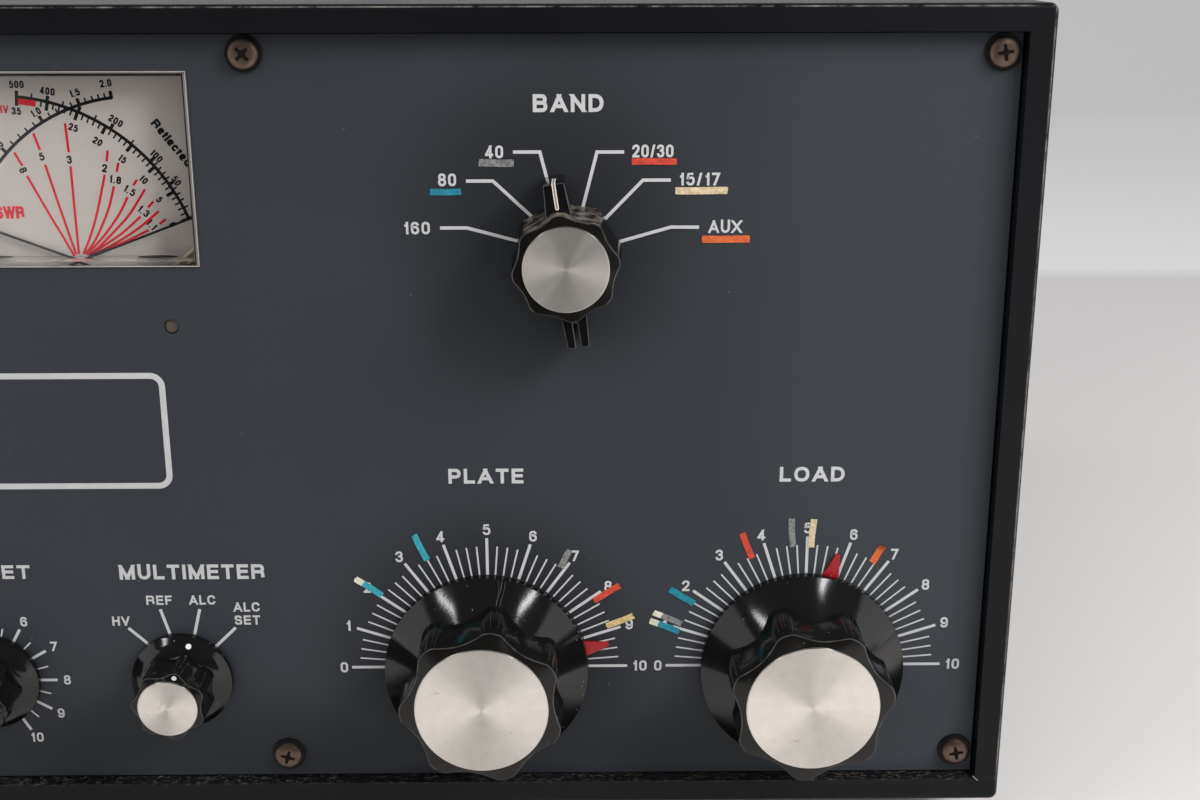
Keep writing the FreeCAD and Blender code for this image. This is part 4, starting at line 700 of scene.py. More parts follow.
# Metals: bright nickel plate, turned brass, mill-finish sheet with its rolling lines, dull copper.
NICKEL = Finish("nickel_plate", "#BDB8AE", "#A39D93", 0.24, 1.0, patch_mm=9.0, grain_mm=0.4)
BRASS = Finish("turned_brass", "#B8965A", "#9C7C46", 0.32, 1.0, patch_mm=9.0, grain=Grain.BRUSHED)
MILL_ALUMINIUM = Finish("mill_aluminium", "#BFC0C2", "#A7A8AB", 0.4, 1.0, patch_mm=30.0,
    grain=Grain.BRUSHED, grain_mm=0.4, relief=0.12)
COPPER = Finish("tarnished_copper", "#B87A55", "#8E5C40", 0.35, 1.0, patch_mm=6.0)
# Glazed ceramic shines like a cup; the tube's glass is dark with graphite inside.
CERAMIC = Finish("glazed_ceramic", "#E4DFD3", "#D6D0C2", 0.22, patch_mm=14.0, coat=0.3)
TUBE_GLASS = Finish("graphite_dark_glass", "#3A3B3D", "#2A2B2D", 0.08, patch_mm=30.0,
    grain=Grain.NONE)
# Varnished steel sheets in a stack, and amber winding paper under the same varnish.
CORE_STEEL = Finish("varnished_laminations", "#3A3634", "#2A2726", 0.45, 0.6, patch_mm=6.0,
    grain=Grain.BRUSHED, grain_mm=0.5, relief=0.3)
WINDING = Finish("varnished_winding_paper", "#8F6B3C", "#77562E", 0.6, patch_mm=8.0,
    grain=Grain.CAST)
# Electrical parts: green board, blue shrunk sleeves, ivory case and tan laminate.
FIBRE = Finish("glass_fibre_board", "#4C6B3C", "#41602F", 0.5, patch_mm=4.0, grain=Grain.CAST)
CAN_SLEEVE = Finish("blue_can_sleeve", "#20386B", "#1A2E5A", 0.35, patch_mm=12.0)
RELAY_CASE = Finish("ivory_relay_case", "#D8D2BE", "#CCC5B0", 0.3, patch_mm=8.0)
TAN_PHENOLIC = Finish("tan_phenolic", "#7A5B36", "#684C2B", 0.5, patch_mm=5.0, grain=Grain.CAST)
SCRATCH = Finish("scratched_phenolic", "#55524F", "#1A1918", 0.5, patch_mm=1.2, sharp=0.5)
BROWN_FILL = Finish("browned_paint_fill", "#8E7868", "#6E5C50", 0.6, patch_mm=0.8, grain_mm=0.2)


# ---------------------------------------------------------------- flat print
@dataclass
class Print:
    """Flat ink on one plane: a list of convex loops and glyph meshes in panel millimetres."""

    name: str
    height: float
    ink: Finish
    verts: list[Vector] = field(default_factory=list)
    faces: list[Face] = field(default_factory=list)

    sharpest = 0.35               # least cosine, so that a sharp corner doesn't reach far out
    arc_step = 2.5                # degrees between the points of an arc
    arc_least = 8                 # chords in a short arc
    layer_step = 0.0015           # mm between strokes, so that crossing ones don't lie level
    layers = 5

    def add_loop(self, points: Loop) -> None:
        """Add one filled outline, counterclockwise as seen from the front."""
        start = len(self.verts)
        self.verts += [world(x, z, self.height) for x, z in points]
        self.faces.append(tuple(range(start, start + len(points))))

    def line(self, a: Point, b: Point, width: float) -> None:
        """Add a straight stroke.

        Args:
            a: One end in panel millimetres.
            b: Other end.
            width: Stroke width.
        """
        dx, dz = b[0] - a[0], b[1] - a[1]
        size = math.hypot(dx, dz) or 1.0
        nx, nz = -dz / size * width / 2, dx / size * width / 2
        self.add_loop([(a[0] - nx, a[1] - nz), (b[0] - nx, b[1] - nz), (b[0] + nx, b[1] + nz),
            (a[0] + nx, a[1] + nz)])

    def path(self, points: Loop, width: float, closed: bool = False) -> None:
        """Add a mitred stroke along points.

        Args:
            points: Its corners in panel millimetres.
            width: Stroke width.
            closed: Whether the last point joins the first.
        """
        count = len(points)
        start = len(self.verts)
        for i, (x, z) in enumerate(points):
            before = points[i - 1] if (i or closed) else None
            after = points[(i + 1) % count] if (i + 1 < count or closed) else None
            dirs = []
            if before:
                dirs.append((x - before[0], z - before[1]))
            if after:
                dirs.append((after[0] - x, after[1] - z))
            units = [(dx / math.hypot(dx, dz), dz / math.hypot(dx, dz)) for dx, dz in dirs]
            tx, tz = sum(u[0] for u in units), sum(u[1] for u in units)
            size = math.hypot(tx, tz)
            tx, tz = tx / size, tz / size
            reach = width / 2 / max(self.sharpest, tx * units[0][0] + tz * units[0][1])
            self.verts += [world(x + tz * reach, z - tx * reach, self.height),
                world(x - tz * reach, z + tx * reach, self.height)]
        for i in range(count if closed else count - 1):
            a, b = start + 2 * i, start + 2 * ((i + 1) % count)
            self.faces.append((a, b, b + 1, a + 1))

    def arc(self, centre: Point, radius: float, start: float, end: float, width: float) -> None:
        """Add a stroke along part of a circle.

        Args:
            centre: Middle of the circle.
            radius: Its radius.
            start: First angle in degrees, counterclockwise from +X.
            end: Last angle.
            width: Stroke width.
        """
        steps = max(self.arc_least, int(abs(end - start) / self.arc_step))
        angles = [math.radians(start + (end - start) * i / steps) for i in range(steps + 1)]
        self.path([(centre[0] + radius * math.cos(a), centre[1] + radius * math.sin(a))
            for a in angles], width)

    def text(self, words: str, at: Point, cap: float, width: float | None = None, turn: float = 0.0,
             weight: float = 0.17, squeeze: float = 1.0, gap: float = 0.19) -> None:
        """Add letters or numbers, centred.

        Args:
            words: What is written.
            at: Middle in panel millimetres.
            cap: Height of a capital.
            width: Total width, or None for the letters' own width times squeeze.
            turn: Turn counterclockwise, degrees.
            weight: Stroke width in capital heights.
            squeeze: Width factor when no width is given.
            gap: Room between letters, in capital heights.
        """
        total, runs = Lettering.runs(words, weight, gap)
        grow_x = width / total if width else cap * squeeze
        c, s = math.cos(math.radians(turn)), math.sin(math.radians(turn))
        for layer, run in enumerate(runs):
            level = len(run) == 2 and abs(run[0][0] - run[1][0]) > 1e-6
            for x, y in self.stroke_edges(run, weight, grow_x / cap, level):
                px, pz = (x - total / 2) * grow_x, (y - 0.5) * cap
                self.verts.append(world(at[0] + px * c - pz * s, at[1] + px * s + pz * c,
                    self.height + self.layer_step * (layer % self.layers)))
            start = len(self.verts) - 2 * len(run)
            for i in range(len(run) - 1):
                k = start + 2 * i
                self.faces.append((k, k + 2, k + 3, k + 1))

    @staticmethod
    def stroke_edges(run: Loop, weight: float, stretch: float, level: bool) -> Loop:
        """Both edges of a stroke, point by point.

        Args:
            run: Middle line in capital heights.
            weight: Stroke width.
            stretch: How much wider than high the letter is drawn, taken out of upright strokes.
            level: Whether a slanting stroke's ends are cut level.

        Returns:
            Right and left edge points in turn.
        """
        out: Loop = []
        if level and abs(run[0][1] - run[1][1]) > 1e-6:
            run = sorted(run, key=lambda p: p[1])
            dx, dy = run[1][0] - run[0][0], run[1][1] - run[0][1]
            wide = weight / 2 * math.hypot(dx, dy) / dy / stretch ** 0.5
            for x, y in run:
                out += [(x + wide, y), (x - wide, y)]
            return out
        closed = math.dist(run[0], run[-1]) < 1e-4
        for i, (x, y) in enumerate(run):
            before, after = run[max(0, i - 1)], run[min(len(run) - 1, i + 1)]
            if closed and i in (0, len(run) - 1):
                before, after = run[-2], run[1]
            tx, ty = after[0] - before[0], after[1] - before[1]
            size = math.hypot(tx, ty) or 1.0
            half_x, half_y = weight / 2 / stretch, weight / 2
            out += [(x + ty / size * half_x, y - tx / size * half_y),
                (x - ty / size * half_x, y + tx / size * half_y)]
        return out

    def finish(self) -> Piece:
        """Make the piece and let it ride on the cabinet."""
        return seat(mesh_object(self.name, self.verts, self.faces, self.ink.build()), CABINET)


@dataclass(frozen=True)
class Letter:
    """One sign-writer's letter: ink width and its strokes, in capital heights.

    Semicolons part the strokes and commas their corners. A corner is x and y, from 0 to 1 across
    the letter's middle lines, and its rounding where it has one.
    """

    width: float
    drawn: str

    @property
    def strokes(self) -> list[list[tuple[float, ...]]]:
        """Corners of each stroke, as numbers."""
        return [[tuple(float(n) for n in corner.split()) for corner in stroke.split(",")]
                for stroke in self.drawn.split(";")]


LETTERS = {sign: Letter(width, drawn) for sign, width, drawn in (
    ("A", 0.94, "0 0, .5 1; 1 0, .5 1; .2 .28, .8 .28"),
    ("B", 0.83, "0 0, 0 1; 0 1, .94 1 .3, .94 .53 .3, 0 .53; 0 .53, 1 .53 .3, 1 0 .3, 0 0"),
    ("C", 0.86, "1 .68, 1 1 .4, 0 1 .4, 0 0 .4, 1 0 .4, 1 .32"),
    ("D", 0.85, "0 0, 0 1; 0 1, 1 1 .4, 1 0 .4, 0 0"),
    ("E", 0.74, "0 0, 0 1; 0 1, 1 1; 0 .52, .93 .52; 0 0, 1 0"),
    ("F", 0.7, "0 0, 0 1; 0 1, 1 1; 0 .5, .88 .5"),
    ("H", 0.82, "0 0, 0 1; 1 0, 1 1; 0 .52, 1 .52"),
    ("I", 0.21, ".5 0, .5 1"),
    ("L", 0.7, "0 0, 0 1; 0 0, 1 0"),
    ("M", 1.0, "0 0, 0 1; 1 0, 1 1; 0 1, .5 0; 1 1, .5 0"),
    ("N", 0.82, "0 0, 0 1; 1 0, 1 1; 0 1, 1 0"),
    ("O", 0.93, ".5 1, 1 1 .42, 1 0 .42, 0 0 .42, 0 1 .42, .5 1"),
    ("P", 0.78, "0 0, 0 1; 0 1, 1 1 .3, 1 .44 .3, 0 .44"),
    ("R", 0.86, "0 0, 0 1; 0 1, .96 1 .3, .96 .48 .3, 0 .48; .5 .48, .94 .48 .16, .97 0"),
    ("S", 0.79, ".98 .7, .98 1 .3, .02 1 .3, .02 .56 .3, 1 .44 .3, 1 0 .3, 0 0 .3, 0 .3"),
    ("T", 0.8, "0 1, 1 1; .5 0, .5 1"),
    ("U", 0.82, "0 1.2, 0 0 .4, 1 0 .4, 1 1.2"),
    ("V", 0.9, "0 1, .5 0; 1 1, .5 0"),
    ("W", 1.25, "0 1, .25 0; .5 1, .25 0; .5 1, .75 0; 1 1, .75 0"),
    ("X", 0.9, "0 1, 1 0; 0 0, 1 1"),
    ("Y", 0.9, "0 1, .5 .45; 1 1, .5 .45; .5 0, .5 .45"),
    ("0", 0.66, ".5 1, 1 1 .3, 1 0 .3, 0 0 .3, 0 1 .3, .5 1"),
    ("1", 0.42, ".95 0, .95 1; 0 .74, .6 .76, .95 .98"),
    ("2", 0.66, "0 .68, 0 1 .3, 1 1 .3, 1 .6 .2, .02 .02; 0 0, 1 0"),
    ("3", 0.66, "0 .72, 0 1 .3, .95 1 .3, .95 .54 .3, .35 .54; .35 .54, 1 .54 .3, 1 0 .3,"
     " 0 0 .3, 0 .28"),
    ("4", 0.7, ".72 0, .72 1; .7 1, 0 .22; 0 .22, 1 .22"),
    ("5", 0.67, ".95 1, .14 1, .03 .5, .25 .64 .1, 1 .64 .3, 1 0 .3, 0 0 .3, 0 .26"),
    ("6", 0.66, ".97 .74, .97 1 .3, 0 1 .3, 0 0 .3, 1 0 .3, 1 .6 .3, .04 .6"),
    ("7", 0.65, "0 1, 1 1; 1 1, .3 0"),
    ("8", 0.67, ".5 1, .95 1 .24, .95 .53 .24, .05 .53 .24, .05 1 .24, .5 1; .5 .53, 1 .53 .26,"
     " 1 0 .3, 0 0 .3, 0 .53 .26, .5 .53"),
    ("9", 0.66, ".03 .26, .03 0 .3, 1 0 .3, 1 1 .3, 0 1 .3, 0 .4 .3, .96 .4"),
    ("/", 0.4, "0 0, 1 1"),
    (".", 0.2, ".5 0, .5 .05"),
    ("a", 0.66, ".05 .52, .1 .7 .1, .9 .7 .3, .9 0; .9 .4, 0 .4 .2, 0 0 .2, .9 .02"),
    ("c", 0.62, "1 .48, 1 .7 .3, 0 .7 .3, 0 0 .3, 1 0 .3, 1 .22"),
    ("d", 0.68, "1 0, 1 1; 1 .7, 0 .7 .3, 0 0 .3, 1 0"),
    ("e", 0.66, "0 .36, 1 .36, 1 .7 .3, 0 .7 .3, 0 0 .3, 1 0 .3, 1 .14"),
    ("f", 0.4, "1 1, .35 1 .15, .35 -.1; 0 .68, .95 .68"),
    ("l", 0.21, ".5 0, .5 1"),
    ("m", 0.98, "0 -.1, 0 .78; 0 .7, .5 .7 .2, .5 -.1; .5 .7, 1 .7 .2, 1 -.1"),
    ("o", 0.7, ".5 .7, 1 .7 .3, 1 0 .3, 0 0 .3, 0 .7 .3, .5 .7"),
    ("r", 0.44, "0 -.1, 0 .78; 0 .55, .15 .7 .2, 1 .7"),
    ("t", 0.4, ".35 .95, .35 0 .15, 1 0; 0 .68, .95 .68"),
    ("w", 0.98, "0 .75, .25 -.05; .5 .75, .25 -.05; .5 .75, .75 -.05; 1 .75, .75 -.05"),
)}


class Lettering:
    """Draws words with plain sign-writer's letters of even stroke."""

    word_gap = 0.30
    chords = 6                    # in a rounded corner
    bow, flat = 0.92, 0.08        # shares of the curve and of its chord in that corner

    @staticmethod
    def rounded(corners: list[tuple[float, ...]]) -> Loop:
        """Replace rounded corners of a run by short chords.

        Args:
            corners: Points with an optional rounding radius.

        Returns:
            The run's points.
        """
        out: Loop = []
        for i, corner in enumerate(corners):
            if len(corner) < 3 or i in (0, len(corners) - 1):
                out.append((corner[0], corner[1]))
                continue
            at = Vector(corner[:2])
            back, ahead = Vector(corners[i - 1][:2]) - at, Vector(corners[i + 1][:2]) - at
            room = []
            for arm, j in ((back, i - 1), (ahead, i + 1)):
                shared = 0.5 if len(corners[j]) > 2 else 1.0
                room.append(arm.length * shared)
            cut = min(corner[2], *room)
            a, b = at + back.normalized() * cut, at + ahead.normalized() * cut
            for k in range(Lettering.chords + 1):
                t = k / Lettering.chords
                pull = 2 * t * (1 - t)
                p = a * (1 - t) ** 2 + at * (pull * Lettering.bow) + b * t ** 2
                p += (a + b) / 2 * (pull * Lettering.flat)
                out.append((p.x, p.y))
        return [p for i, p in enumerate(out) if i == 0 or math.dist(p, out[i - 1]) > 1e-4]

    @classmethod
    def runs(cls, words: str, weight: float, gap: float) -> tuple[float, list[Loop]]:
        """Middle lines of all strokes of some words.

        Args:
            words: What is written.
            weight: Stroke width in capital heights.
            gap: Room between letters in capital heights.

        Returns:
            Total ink width and the strokes, in capital heights from the lower left corner.
        """
        at, out = 0.0, []
        half = weight / 2
        for sign in words:
            if sign == " ":
                at += cls.word_gap
                continue
            letter = LETTERS[sign]
            span_x, span_y = letter.width - weight, 1.0 - weight
            for stroke in letter.strokes:
                run = []
                for corner in stroke:
                    x, y = at + half + corner[0] * span_x, half + corner[1] * span_y
                    run.append((x, y) + tuple(corner[2:]))
                out.append(cls.capped(cls.rounded(run), weight))
            at += letter.width + gap
        return at - gap, out

    @staticmethod
    def capped(run: Loop, weight: float) -> Loop:
        """Carry a straight stroke on to the letter's edge."""
        if len(run) != 2:
            return run
        (x0, y0), (x1, y1) = run
        if abs(y1 - y0) < 1e-6:
            ends = sorted((x0, x1))
            return [(ends[0] - weight / 2, y0), (ends[1] + weight / 2, y0)]
        slope = (x1 - x0) / (y1 - y0)

        def end(x: float, y: float) -> Point:
            """Move an end that lies on the top or bottom line out to the ink's edge."""
            reach = 0.0
            if y < weight * 0.6:
                reach = -y
            if y > 1 - weight * 0.6:
                reach = 1 - y
            return x + slope * reach, y + reach
        return [end(x0, y0), end(x1, y1)]


# ---------------------------------------------------------------- repeated pieces
class Repeater:
    """Geometry Nodes tree that sets one pattern on every point, turned and stretched as told."""

    tree: Tree | None = None
    sockets: dict[str, str] = {}
    smooth_angle = 35.0           # degrees under which edges of the copies are smooth

    @classmethod
    def build(cls) -> Tree:
        """Build the tree once.

        Returns:
            The node tree.
        """
        if cls.tree:
            return cls.tree
        tree = bpy.data.node_groups.new("pattern_on_points", "GeometryNodeTree")
        face = tree.interface
        for name, kind in (("Geometry", "NodeSocketGeometry"), ("Pattern", "NodeSocketObject"),
                           ("Finish", "NodeSocketMaterial"), ("Size", "NodeSocketFloat")):
            cls.sockets[name] = face.new_socket(name=name, in_out="INPUT",
                socket_type=kind).identifier
        face.new_socket(name="Geometry", in_out="OUTPUT", socket_type="NodeSocketGeometry")
        source = add_node(tree, "NodeGroupInput").outputs
        pattern = add_node(tree, "GeometryNodeObjectInfo", {"As Instance": True},
            {"Object": source["Pattern"]})
        turn = add_node(tree, "GeometryNodeInputNamedAttribute", {"Name": "turn"},
            data_type="FLOAT_VECTOR")
        stretch = add_node(tree, "GeometryNodeInputNamedAttribute", {"Name": "stretch"},
            data_type="FLOAT_VECTOR")
        spun = add_node(tree, "FunctionNodeEulerToRotation", {}, {0: turn.outputs["Attribute"]})
        grown = add_node(tree, "VectorMath", {},
            {0: stretch.outputs["Attribute"], "Scale": source["Size"]}, operation="SCALE")
        placed = add_node(tree, "GeometryNodeInstanceOnPoints", {},
            {"Points": source["Geometry"], "Instance": pattern.outputs["Geometry"],
            "Rotation": spun, "Scale": grown})
        real = add_node(tree, "GeometryNodeRealizeInstances", {}, {0: placed.outputs["Instances"]})
        dressed = add_node(tree, "GeometryNodeSetMaterial", {},
            {"Geometry": real.outputs["Geometry"], "Material": source["Finish"]})
        add_node(tree, "NodeGroupOutput", {}, {0: dressed.outputs["Geometry"]})
        cls.tree = tree
        return tree

    @classmethod
    def spread(cls, name: str, pattern: Piece, places: list[Vector],
               turns: list[Triple], finish: Finish, stretches: list[Triple] | None = None,
               size: float = 1.0) -> Piece:
        """Set a pattern on places and make the result one plain mesh.

        Args:
            name: Name of the piece.
            pattern: Object to repeat; it is removed afterwards.
            places: Where each copy goes, metres.
            turns: Euler angles of each copy, radians.
            finish: Material of the copies.
            stretches: Scale of each copy, or None for 1.
            size: Overall scale.

        Returns:
            The finished object.
        """
        data = bpy.data.meshes.new(name)
        data.from_pydata([tuple(p) for p in places], [], [])
        plain = [(1.0, 1.0, 1.0)] * len(places)
        for label, rows in (("turn", turns), ("stretch", stretches or plain)):
            layer = data.attributes.new(label, "FLOAT_VECTOR", "POINT")
            for item, row in zip(layer.data, rows):
                item.vector = row
        obj = bpy.data.objects.new(name, data)
        bpy.context.scene.collection.objects.link(obj)
        mod = obj.modifiers.new("pattern", "NODES")
        mod.node_group = cls.build()
        mod[cls.sockets["Pattern"]] = pattern
        mod[cls.sockets["Finish"]] = finish.build()
        mod[cls.sockets["Size"]] = size
        applied(obj)
        bpy.data.objects.remove(pattern)
        obj.data.shade_smooth()
        obj.data.set_sharp_from_angle(angle=math.radians(cls.smooth_angle))
        return obj


def unit_bar() -> Piece:
    """Flat unit square facing the front, the pattern for scale ticks."""
    corners = [Vector((x, 0.0, z)) for x, z in ((-0.5, -0.5), (0.5, -0.5), (0.5, 0.5), (-0.5, 0.5))]
    return mesh_object("tick_pattern", corners, [(0, 1, 2, 3)], WHITE_INK.build())


@dataclass
class Ticks:
    """Scale ticks round a centre, all on one plane, spread by the repeater."""

    name: str
    height: float
    ink: Finish
    places: list[Vector] = field(default_factory=list)
    turns: list[Triple] = field(default_factory=list)
    stretches: list[Triple] = field(default_factory=list)

    def add(self, centre: Point, angle: float, inner: float, outer: float, width: float) -> None:
        """Add one radial tick.

        Args:
            centre: Middle of the scale in panel millimetres.
            angle: Degrees counterclockwise from +X.
            inner: Inner end's radius.
            outer: Outer end's radius.
            width: Its width.
        """
        a = math.radians(angle)
        middle = (inner + outer) / 2
        self.places.append(world(centre[0] + middle * math.cos(a), centre[1] + middle * math.sin(a),
            self.height))
        self.turns.append((0.0, -a, 0.0))
        self.stretches.append(((outer - inner) * MM, 1.0, width * MM))

    def finish(self) -> Piece:
        """Make the piece and let it ride on the cabinet."""
        made = Repeater.spread(self.name, unit_bar(), self.places, self.turns, self.ink,
            self.stretches)
        return seat(made, CABINET)


# ---------------------------------------------------------------- knobs
def lobed(angle: float, lobes: int, peak: float, valley: float, crown: float) -> float:
    """Radius of a fluted grip.

    Args:
        angle: Radians from a lobe's middle.
        lobes: How many lobes there are.
        peak: Radius at a lobe's middle.
        valley: Radius at a flute's deepest point.
        crown: Half a lobe's crown as a share of the pitch.

    Returns:
        The radius at that angle.
    """
    step = 2 * math.pi / lobes
    off = abs((angle + step / 2) % step - step / 2)
    shoulder = peak - (peak - valley) * 0.12
    if off <= crown * step:
        return peak - (peak - shoulder) * (off / (crown * step)) ** 2
    across = (step / 2 - off) / (step / 2 - crown * step)
    return valley + (shoulder - valley) * across ** 2


@dataclass
class Ring:
    """One ring of a knob's wall: height, and a peak and valley radius (equal when round)."""

    height: float
    peak: float
    valley: float


@dataclass
class FlutedKnob:
    """Moulded knob with a conical skirt, a fluted grip and a metal cap let into its face."""

    name: str
    body: str
    x: float
    z: float
    angle: float                  # one lobe, degrees clockwise from up
    skirt: float
    lift: float
    rim: float
    cone_top: float
    cone: float
    lobe: Point                   # (at the base, at the face)
    valley: Point
    face: float
    cap: float
    lobes: int = 7
    crown: float = 0.125
    bevel: float = 0.35
    crowning: float = 0.5         # how far the face falls off towards its edge
    sag: float = 0.25             # how hollow the skirt's cone is; domed if negative

    def turned(self, radius: float, clockwise: float, h: float) -> Vector:
        """Point on the knob at a radius and angle clockwise from its first lobe."""
        a = math.radians(self.angle) + clockwise
        return world(self.x + radius * math.sin(a), self.z + radius * math.cos(a), h)

    def angles(self) -> list[float]:
        """Angles round the grip, closer together at the lobes' corners."""
        step = 2 * math.pi / self.lobes
        crown = self.crown * step
        own = [-crown, -crown * 0.5, 0.0, crown * 0.5, crown]
        flute = [crown + (step - 2 * crown) * i / 14 for i in range(1, 14)]
        return [k * step + a for k in range(self.lobes) for a in own + flute]

    def shell(self, rings: list[Ring]) -> tuple[list[Vector], list[Face]]:
        """Build a closed wall from its rings.

        Args:
            rings: From the back to the face and in to the middle.

        Returns:
            Its points and faces.
        """
        around = self.angles()
        count = len(around)
        verts = []
        for ring in rings:
            for a in around:
                radius = lobed(a, self.lobes, ring.peak, ring.valley, self.crown)
                verts.append(self.turned(radius, a, ring.height))
        faces: list[Face] = [tuple(range(count))]
        faces += [(f[0], f[3], f[2], f[1]) for f in walls(0, len(rings), count)]
        faces.append(tuple(len(verts) - 1 - i for i in range(count)))
        return verts, faces

    def skirt_rings(self) -> list[Ring]:
        """Rings of the skirt: flat back, rounded rim and a faintly hollow cone."""
        back, edge, lip = 0.25, 0.35, 0.12  # the back's bevel, and the rim's width and height
        out = [(self.lift, self.skirt - back), (self.lift + back, self.skirt),
            (self.rim - edge, self.skirt), (self.rim - 0.1, self.skirt - 0.08),
            (self.rim + lip, self.skirt - edge)]
        for share in (0.25, 0.5, 0.75, 1.0):
            radius = self.skirt - edge + (self.cone - self.skirt + edge) * share
            sag = self.sag * math.sin(math.pi * share)
            out.append((self.rim + lip + (self.cone_top - self.rim - lip) * share - sag, radius))
        return [Ring(h, r, r) for h, r in out]

    def grip_rings(self) -> list[Ring]:
        """Rings of the grip up to its face and down into the cap's seat."""
        base = self.cone_top - (self.cone_top - self.rim) * 0.9
        b = self.bevel
        top_l, top_v = self.lobe[1], self.valley[1]
        seat_r = self.cap + 0.12
        edge = self.face - self.crowning
        return [Ring(base, self.lobe[0], self.valley[0]), Ring(edge - b, top_l, top_v),
            Ring(edge - b * 0.3, top_l - b * 0.28, top_v - b * 0.28),
            Ring(edge, top_l - b, top_v - b), Ring(self.face, seat_r, seat_r),
            Ring(self.face - 0.8, seat_r, seat_r)]

    def paint_face(self, obj: Piece) -> None:
        """Give the grip's face its duller skin and its rim the rubbed grey, partly painted
        highlight on its upper side.

        Args:
            obj: Moulding with the glossy material first and the grip's faces last.
        """
        obj.data.materials.append(GRIP_FACE.build())
        obj.data.materials.append(WORN_AND_HIGHLIT_EDGE.build())
        around = len(self.angles())
        seat_wall = len(obj.data.polygons) - around - 1
        for k in range(seat_wall - around, seat_wall):
            obj.data.polygons[k].material_index = 1
            obj.data.polygons[k].use_smooth = self.crowning > 0.2
        for k in range(seat_wall - 2 * around, seat_wall - around):
            poly = obj.data.polygons[k]
            # Painted highlight: faces of the rim that look up or aside take the grey, as if lit
            # from above; those that look down stay dull.
            poly.material_index = 2 if poly.normal.z > -0.3 else 1

    def build(self) -> None:
        """Make the knob, dress its cap and let both ride."""
        verts, faces = self.shell(self.skirt_rings())
        more, extra = self.shell(self.grip_rings())
        start = len(verts)
        faces += [tuple(start + i for i in f) for f in extra]
        obj = mesh_object(self.name + "_moulding", verts + more, faces, PHENOLIC.build(), 28.0)
        self.paint_face(obj)
        seat(obj, self.body, self.name, slot="knob_plastic")
        dress_cap(self.name + "_cap", self.x, self.z)

    def scratch(self, name: str, clockwise: float, lean: float, width: float) -> None:
        """Hair scratch down the skirt's cone.

        Args:
            name: Piece name.
            clockwise: Where it lies, degrees clockwise from the first lobe.
            lean: How far its lower end runs aside, degrees.
            width: Its width.
        """
        rows = [(r.peak, r.height) for r in self.skirt_rings()[4:]]
        verts = []
        for k, (radius, height) in enumerate(rows):
            for side in (-0.5, 0.5):
                turn = math.radians(clockwise + lean * k / (len(rows) - 1)
                    + (0.5 if k % 2 else 0.0))
                verts.append(self.turned(radius, turn + side * width / radius, height + 0.05))
        faces = [(2 * k, 2 * k + 2, 2 * k + 3, 2 * k + 1) for k in range(len(rows) - 1)]
        obj = mesh_object(name, verts, faces, SCRATCH.build())
        if sum(p.normal.y for p in obj.data.polygons) > 0:
            obj.data.flip_normals()
        seat(obj, self.body)

    def dot(self, name: str, radius: float, h: float, size: float, tilt: float) -> None:
        """Round white paint dot on the knob in line with its pointer lobe.

        Args:
            name: Piece name.
            radius: Distance from the knob's middle.
            h: Height above the panel.
            size: Dot's radius.
            tilt: Slope of the surface it lies on, degrees.
        """
        centre = self.turned(radius, 0.0, h)
        out = (self.turned(radius + 1.0, 0.0, h) - centre).normalized()
        side = out.cross(Vector((0.0, -1.0, 0.0))).normalized()
        lean = (out * math.cos(math.radians(tilt)) + Vector((0.0, 1.0, 0.0))
            * math.sin(math.radians(tilt)))
        face = side.cross(lean).normalized()
        if face.y > 0:
            face = -face
        verts = []
        count, rows = 20, ((1.0, 0.0), (0.82, 0.07), (0.45, 0.03), (0.12, -0.02))
        for share, rise in rows:
            for k in range(count):
                a = 2 * math.pi * k / count
                flat = side * math.cos(a) + lean * math.sin(a)
                verts.append(centre + flat * (size * share * MM) + face * (rise * MM))
        faces = walls(0, len(rows), count) + [tuple(range(len(verts) - count, len(verts)))]
        obj = mesh_object(name, verts, faces, WHITE_FILL.build(), 40.0)
        if sum(p.normal.dot(face) for p in obj.data.polygons) < 0:
            obj.data.flip_normals()
        seat(obj, self.body)


def dress_cap(node: str, x: float, z: float) -> None:
    """Give a knob's metal cap its spun finish round its own middle."""
    centre = world(x, z, 0.0)
    finish = SpunAluminium(f"spun_aluminium_{node}", tuple(centre))
    dress(node, finish.build())


def dress(node: str, material: Material) -> None:
    """Put a material on every slot of a CAD node.

    Args:
        node: Its name.
        material: What it is made of.
    """
    data = frame["nodes"][node].data
    if not data.materials:
        data.materials.append(material)
    for index in range(len(data.materials)):
        data.materials[index] = material


